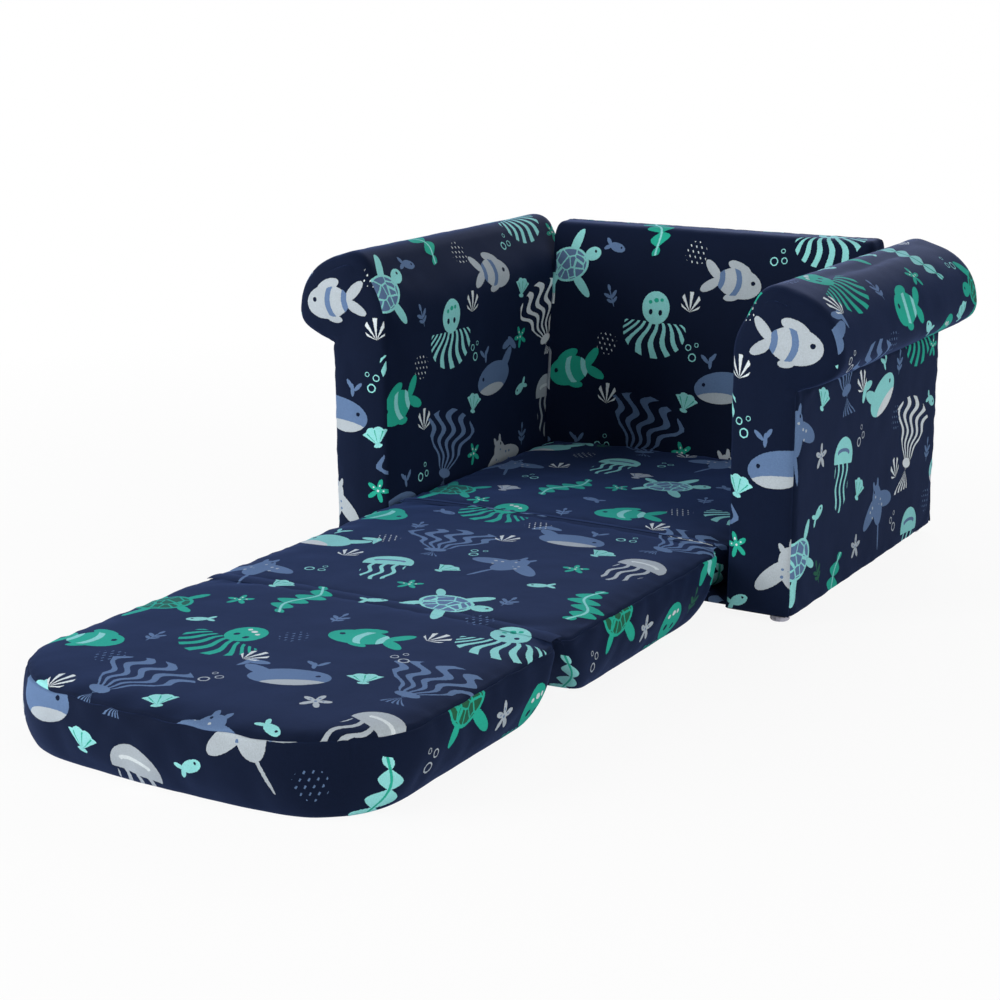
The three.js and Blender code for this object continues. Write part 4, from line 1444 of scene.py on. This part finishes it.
def printed_velour(s):
    """Short-pile velour in navy with a generic sea-life print."""
    colours = bpy.context.scene.sofa_print
    navy = (*colours.navy, 1)
    solid = s.solid()
    pile = s.noise(solid, scale=1100.0, roughness=0.6)
    fuzz = s.noise(solid, scale=700.0, output="Color")
    stray = s.stretched(s.vector("SUBTRACT", fuzz, (0.5, 0.5, 0.5)), 0.0012, 0.0012, 0)
    place = s.vector("ADD", s.term("ShaderNodeUVMap", uv_map=UV_NAME), stray)
    large, ink, mark = place_figures(
        s, place, LARGE_FIGURES, colours.row, colours.large, True, LARGE_TILT)
    body, extra, detail = s.split(large)
    colour = s.blend(detail, s.blend(extra, s.blend(body, navy, ink), mark), navy)
    beside = s.vector("ADD", place, (colours.column / 2, 0, 0))
    small, ink, mark = place_figures(
        s, beside, SMALL_FIGURES, colours.row / 2, colours.small, False, SMALL_TILT)
    body, extra, _ = s.split(small)
    colour = s.blend(extra, s.blend(body, colour, ink), mark)
    nap = s.noise(solid, scale=26.0, detail=3.0, roughness=0.55)
    crush = s.noise(solid, scale=9.0)
    shade = 0.80 + nap * 0.22 + crush * 0.14 + (pile - 0.5) * 0.5
    return {
        "Base Color": s.blend(1.0, colour, s.join(shade, shade, shade), "MULTIPLY"),
        "Roughness": 0.82,
        "Specular IOR Level": 0.07,
        "Sheen Weight": 0.25,
        "Sheen Roughness": 0.45,
        "Sheen Tint": (0.11, 0.21, 0.62, 1),
        "Normal": s.bump(pile * 0.35 + nap * 1.6, distance=0.0006, strength=0.55),
    }


def lining_cloth(s):
    """Thin non-woven lining with its pressed point pattern."""
    place = s.solid()
    points = s.cells(place, scale=600.0, randomness=0.15)
    fibres = s.noise(place, scale=420.0, detail=4.0, roughness=0.7)
    tone = fibres * 0.5 + points * 0.4
    return {
        "Base Color": s.blend(tone, (0.008, 0.009, 0.012, 1), (0.03, 0.032, 0.038, 1)),
        "Roughness": 0.9,
        "Normal": s.bump(tone, distance=0.0003),
    }


def plywood(s):
    """Pale plywood with long grain, pores and darker plies."""
    place = s.solid()
    rings = s.noise(s.stretched(place, 1.0, 9.0, 9.0), scale=7.0, detail=5.0, roughness=0.62)
    pores = s.noise(s.stretched(place, 1.0, 14.0, 14.0), scale=90.0, detail=3.0, roughness=0.7)
    tone = rings * 0.75 + pores * 0.3
    return {
        "Base Color": s.blend(tone, (0.62, 0.42, 0.22, 1), (0.35, 0.2, 0.09, 1)),
        "Roughness": 0.55 + pores * 0.3,
        "Normal": s.bump(tone, distance=0.0003),
    }


def foot_plastic(s):
    """Pale moulded plastic with a faint grain and scuffs."""
    place = s.solid()
    grain = s.noise(place, scale=1500.0)
    scuffs = s.noise(s.stretched(place, 3.0, 1.0, 1.0), scale=120.0, detail=4.0, roughness=0.7)
    return {
        "Base Color": s.blend(scuffs * 0.5, (0.56, 0.55, 0.66, 1), (0.4, 0.4, 0.48, 1)),
        "Roughness": 0.35 + scuffs * 0.25,
        "Normal": s.bump(grain, distance=0.0001),
    }


def screw_steel(s):
    """Zinc-plated steel with fine streaks."""
    streaks = s.noise(
        s.stretched(s.solid(), 1.0, 1.0, 6.0), scale=800.0, detail=3.0, roughness=0.6)
    return {
        "Base Color": s.blend(streaks, (0.42, 0.43, 0.46, 1), (0.6, 0.6, 0.62, 1)),
        "Metallic": 1.0,
        "Roughness": 0.28 + streaks * 0.2,
        "Normal": s.bump(streaks, distance=0.0001),
    }


FINISHES = {
    "printed_velour": ("velour with sea-life print", printed_velour),
    "lining_cloth": ("non-woven lining", lining_cloth),
    "wood": ("pale plywood", plywood),
    "foot_plastic": ("moulded foot plastic", foot_plastic),
    "steel": ("zinc-plated steel", screw_steel),
}
MADE = {}


def finish_of(slot):
    """The material of a slot, made on first use."""
    if slot not in MADE:
        name, finish = FINISHES[slot]
        MADE[slot] = bpy.data.materials.new(name)
        s = Sheet(MADE[slot])
        s.show(s.term("ShaderNodeBsdfPrincipled", finish(s)))
    return MADE[slot]


def dress(obj, slot):
    """Gives a new piece the material made for a slot of the record."""
    obj.data.materials.clear()
    obj.data.materials.append(finish_of(slot))


# Operators

FREE_END_GAP = 0.0035  # between the CAD's front end and the seam of the front panel
STRIP_RISE = 0.0004  # how far hinge cloth arches over its level
STRIP_ROWS, OUTER_ROWS, LOWER_ROWS = 13, 6, 9
ARM_SEED, ARM_SEED_STEP, BACK_SEED = 11.0, 7, 31.0


class SOFA_OT_mattress(bpy.types.Operator):
    """Build the three mattress panels"""

    bl_idname = "sofa.mattress"
    bl_label = "Mattress panels"

    def execute(self, context):
        shape = context.scene.sofa_cushions
        gap = shape.gap / 2
        seat_rear = corner("seat_pad_cover", 1, 1)
        front = corner("front_pad_cover", 0, 1) + FREE_END_GAP
        for seed, (name, ends, free_front, floor, body, lean) in enumerate((
                ("seat", (SEAT_JOINT + gap, seat_rear), False, DECK, "sofa_shell", 0.0),
                ("mid", (FRONT_JOINT + gap, SEAT_JOINT - gap), False, 0.0, "mid_pad", shape.notch),
                ("front", (front, FRONT_JOINT - gap), True, 0.0, "front_pad", 0.0)), start=1):
            nodes = [f"{name}_pad_{part}" for part in ("cover", "foam", "bottom_cloth")]
            make_cushion(
                f"{name}_cushion", *ends, free_front, floor, body, nodes, float(seed), lean)
        return {"FINISHED"}


class SOFA_OT_hinge_cloth(bpy.types.Operator):
    """Build the cloth that runs over the two hinges"""

    bl_idname = "sofa.hinge_cloth"
    bl_label = "Hinge cloth"

    def execute(self, context):
        shape = context.scene.sofa_cushions
        reach, slack = shape.strip, shape.gap / 2

        def arch(away):
            """Height of hinge cloth over its level at a distance from the hinge."""
            return STRIP_RISE * (2 * math.cos(0.5 * math.pi * away / reach) - 1)

        both = hinge_strip(
            "front_hinge_cloth",
            even_rows(FRONT_JOINT + reach, FRONT_JOINT - reach, STRIP_ROWS),
            lambda y: arch(y - FRONT_JOINT))
        dress(both, "printed_velour")
        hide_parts("front_hinge_seam")
        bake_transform(both)

        def over_seat(y):
            away = abs(y - SEAT_JOINT)
            return arch(away) - shape.gusset_dip * max(0.0, 1 - away / slack)

        middle = shape.gusset_lower
        top = middle + shape.gusset_upper
        rear_rows = even_rows(SEAT_JOINT + reach, SEAT_JOINT + slack, OUTER_ROWS)
        rear_rows += even_rows(SEAT_JOINT + slack, SEAT_JOINT, LOWER_ROWS, 0.0, middle)
        rear = hinge_strip("seat_hinge_cloth_rear", rear_rows, over_seat)
        dress(rear, "printed_velour")
        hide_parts("seat_hinge_gusset")
        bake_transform(rear)
        front_rows = even_rows(SEAT_JOINT, SEAT_JOINT - slack, STRIP_ROWS, middle, top)
        front_rows += even_rows(SEAT_JOINT - slack, SEAT_JOINT - reach, OUTER_ROWS)
        front = hinge_strip("seat_hinge_cloth_front", front_rows, over_seat)
        dress(front, "printed_velour")
        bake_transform(front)
        return {"FINISHED"}


class SOFA_OT_arms(bpy.types.Operator):
    """Build the two rolled arms and the aprons between them"""

    bl_idname = "sofa.arms"
    bl_label = "Rolled arms"

    def execute(self, context):
        for number, (name, side) in enumerate(SIDES):
            make_arm(name, side, ARM_SEED + ARM_SEED_STEP * number)
        for apron in base_aprons():
            dress(apron, "printed_velour")
            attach(apron, "sofa_shell")
        return {"FINISHED"}


class SOFA_OT_backrest(bpy.types.Operator):
    """Build the backrest"""

    bl_idname = "sofa.backrest"
    bl_label = "Backrest"

    def execute(self, context):
        make_back(BACK_SEED)
        return {"FINISHED"}


class SOFA_OT_frame_finish(bpy.types.Operator):
    """Give the boards, rails, screws, feet and lining their materials"""

    bl_idname = "sofa.frame_finish"
    bl_label = "Frame and feet"

    def execute(self, context):
        slots = {part["node"]: part["material_slot"] for part in frame["record"]["subparts"]}
        for name, node in frame["nodes"].items():
            slot = slots[name]
            if slot not in FINISHES:
                continue
            material = finish_of(slot)
            if not node.material_slots:
                node.data.materials.append(material)
            for place in node.material_slots:
                place.material = material
        return {"FINISHED"}


class SOFA_OT_stage(bpy.types.Operator):
    """Set up the camera, the soft lights and the white floor"""

    bl_idname = "sofa.stage"
    bl_label = "Stage"

    def execute(self, context):
        stage = context.scene.sofa_stage
        set_camera(stage)
        set_lights(stage)
        set_floor(stage)
        context.scene.view_settings.view_transform = "Standard"
        return {"FINISHED"}


# Each light: its place, what it looks at, and its size. Its power is the stage's of that name.
LIGHTS = {
    "key": ((-1.6, -1.75, 0.85), (0, -0.1, 0.1), 1.2),
    "fill": ((1.9, -0.9, 0.8), (0, 0, 0.1), 1.2),
    "top": ((-0.1, -1.15, 1.9), (0, -0.3, 0), 1.2),
    "rear": ((-0.3, 1.9, 1.05), (0, 0.1, 0.25), 1.0),
}
SENSOR_WIDTH = 36
CLIP_END = 60
FLOOR_TONE = (0.86, 0.86, 0.86, 1)
FLOOR_LEVEL = -0.0005  # just under the feet, so that no faces share a plane


def add_to_scene(name, data):
    """New object in the scene's own collection."""
    obj = bpy.data.objects.new(name, data)
    bpy.context.scene.collection.objects.link(obj)
    return obj


def set_camera(stage):
    """Camera at the photograph's place, direction and lens."""
    data = bpy.data.cameras.new("camera")
    data.sensor_width = SENSOR_WIDTH
    data.lens = stage.lens
    data.clip_end = CLIP_END
    camera = add_to_scene("camera", data)
    az, el, roll = stage.azimuth, stage.elevation, stage.roll
    back = Vector((math.sin(az) * math.cos(el), -math.cos(az) * math.cos(el), math.sin(el)))
    right = Vector((math.cos(az), math.sin(az), 0))
    up = back.cross(right)
    across = math.cos(roll) * right + math.sin(roll) * up
    upward = -math.sin(roll) * right + math.cos(roll) * up
    turn = Matrix((across, upward, back)).transposed().to_4x4()
    camera.matrix_world = Matrix.Translation(Vector(stage.eye)) @ turn
    bpy.context.scene.camera = camera


def set_lights(stage):
    """Two soft lights at the front, one overhead, one behind, and an even sky."""
    for name, (place, target, size) in LIGHTS.items():
        data = bpy.data.lights.new(name, "AREA")
        data.shape = "SQUARE"
        data.size = size
        data.energy = getattr(stage, name)
        light = add_to_scene(name, data)
        light.location = place
        toward = Vector(target) - Vector(place)
        light.rotation_euler = toward.to_track_quat("-Z", "Y").to_euler()
    world = bpy.data.worlds.new("studio")
    bpy.context.scene.world = world
    s = Sheet(world)
    even = s.term("ShaderNodeBackground", {"Strength": stage.sky})
    white = s.term("ShaderNodeBackground", {"Color": WHITE})
    s.show(s.term("ShaderNodeMixShader", {0: seen_plainly(s), 1: even, 2: white}), "World")


def seen_plainly(s):
    """1 for rays of the camera, of gloss and of glass."""
    outputs = s.new("ShaderNodeLightPath").outputs
    return s.most(*(Term(s, outputs[f"Is {kind} Ray"])
                    for kind in ("Camera", "Glossy", "Transmission")))


def set_floor(stage):
    """White floor that keeps a faint shadow of the sofa."""
    half = stage.floor_size / 2
    mesh = bpy.data.meshes.new("floor")
    corners = [(-half, -half, 0), (half, -half, 0), (half, half, 0), (-half, half, 0)]
    mesh.from_pydata(corners, [], [(0, 1, 2, 3)])
    floor = add_to_scene("floor", mesh)
    floor.location.z = FLOOR_LEVEL
    material = bpy.data.materials.new("floor")
    s = Sheet(material)
    matt = s.term("ShaderNodeBsdfPrincipled", {
        "Base Color": FLOOR_TONE, "Roughness": 0.95, "Specular IOR Level": 0.0})
    glow = s.term("ShaderNodeEmission", {"Color": WHITE})
    far = s.vector("LENGTH", s.solid())
    fade = s.math("MINIMUM", far / stage.floor_fade, 1.0) * (1 - stage.floor_glow)
    share = seen_plainly(s) * (fade + stage.floor_glow)
    s.show(s.term("ShaderNodeMixShader", {0: share, 1: matt, 2: glow}))
    mesh.materials.append(material)


OPERATORS = (
    SOFA_OT_mattress,
    SOFA_OT_hinge_cloth,
    SOFA_OT_arms,
    SOFA_OT_backrest,
    SOFA_OT_frame_finish,
    SOFA_OT_stage,
)


class SOFA_PT_sidebar(bpy.types.Panel):
    """Lists the operators and their sizes"""

    bl_idname = "SOFA_PT_sidebar"
    bl_label = "Flip open sofa"
    bl_space_type = "VIEW_3D"
    bl_region_type = "UI"
    bl_category = "Sofa"

    def draw(self, context):
        for operator in OPERATORS:
            self.layout.operator(operator.bl_idname)
        for group, kind in GROUPS.items():
            box = self.layout.box()
            settings = getattr(context.scene, group)
            for key in kind.__annotations__:
                box.prop(settings, key)


CLASSES = (*GROUPS.values(), *OPERATORS, SOFA_PT_sidebar)


def register():
    """Adds the classes and hangs the property groups on the scene."""
    for item in CLASSES:
        bpy.utils.register_class(item)
    for name, kind in GROUPS.items():
        setattr(bpy.types.Scene, name, PointerProperty(type=kind))


def unregister():
    """Takes the property groups and the classes away again."""
    for name in GROUPS:
        delattr(bpy.types.Scene, name)
    for item in reversed(CLASSES):
        bpy.utils.unregister_class(item)


def main():
    """Builds every piece in order."""
    register()
    for operator in OPERATORS:
        call = getattr(bpy.ops.sofa, operator.bl_idname.split(".")[1])
        call()


if __name__ == "__main__":
    main()
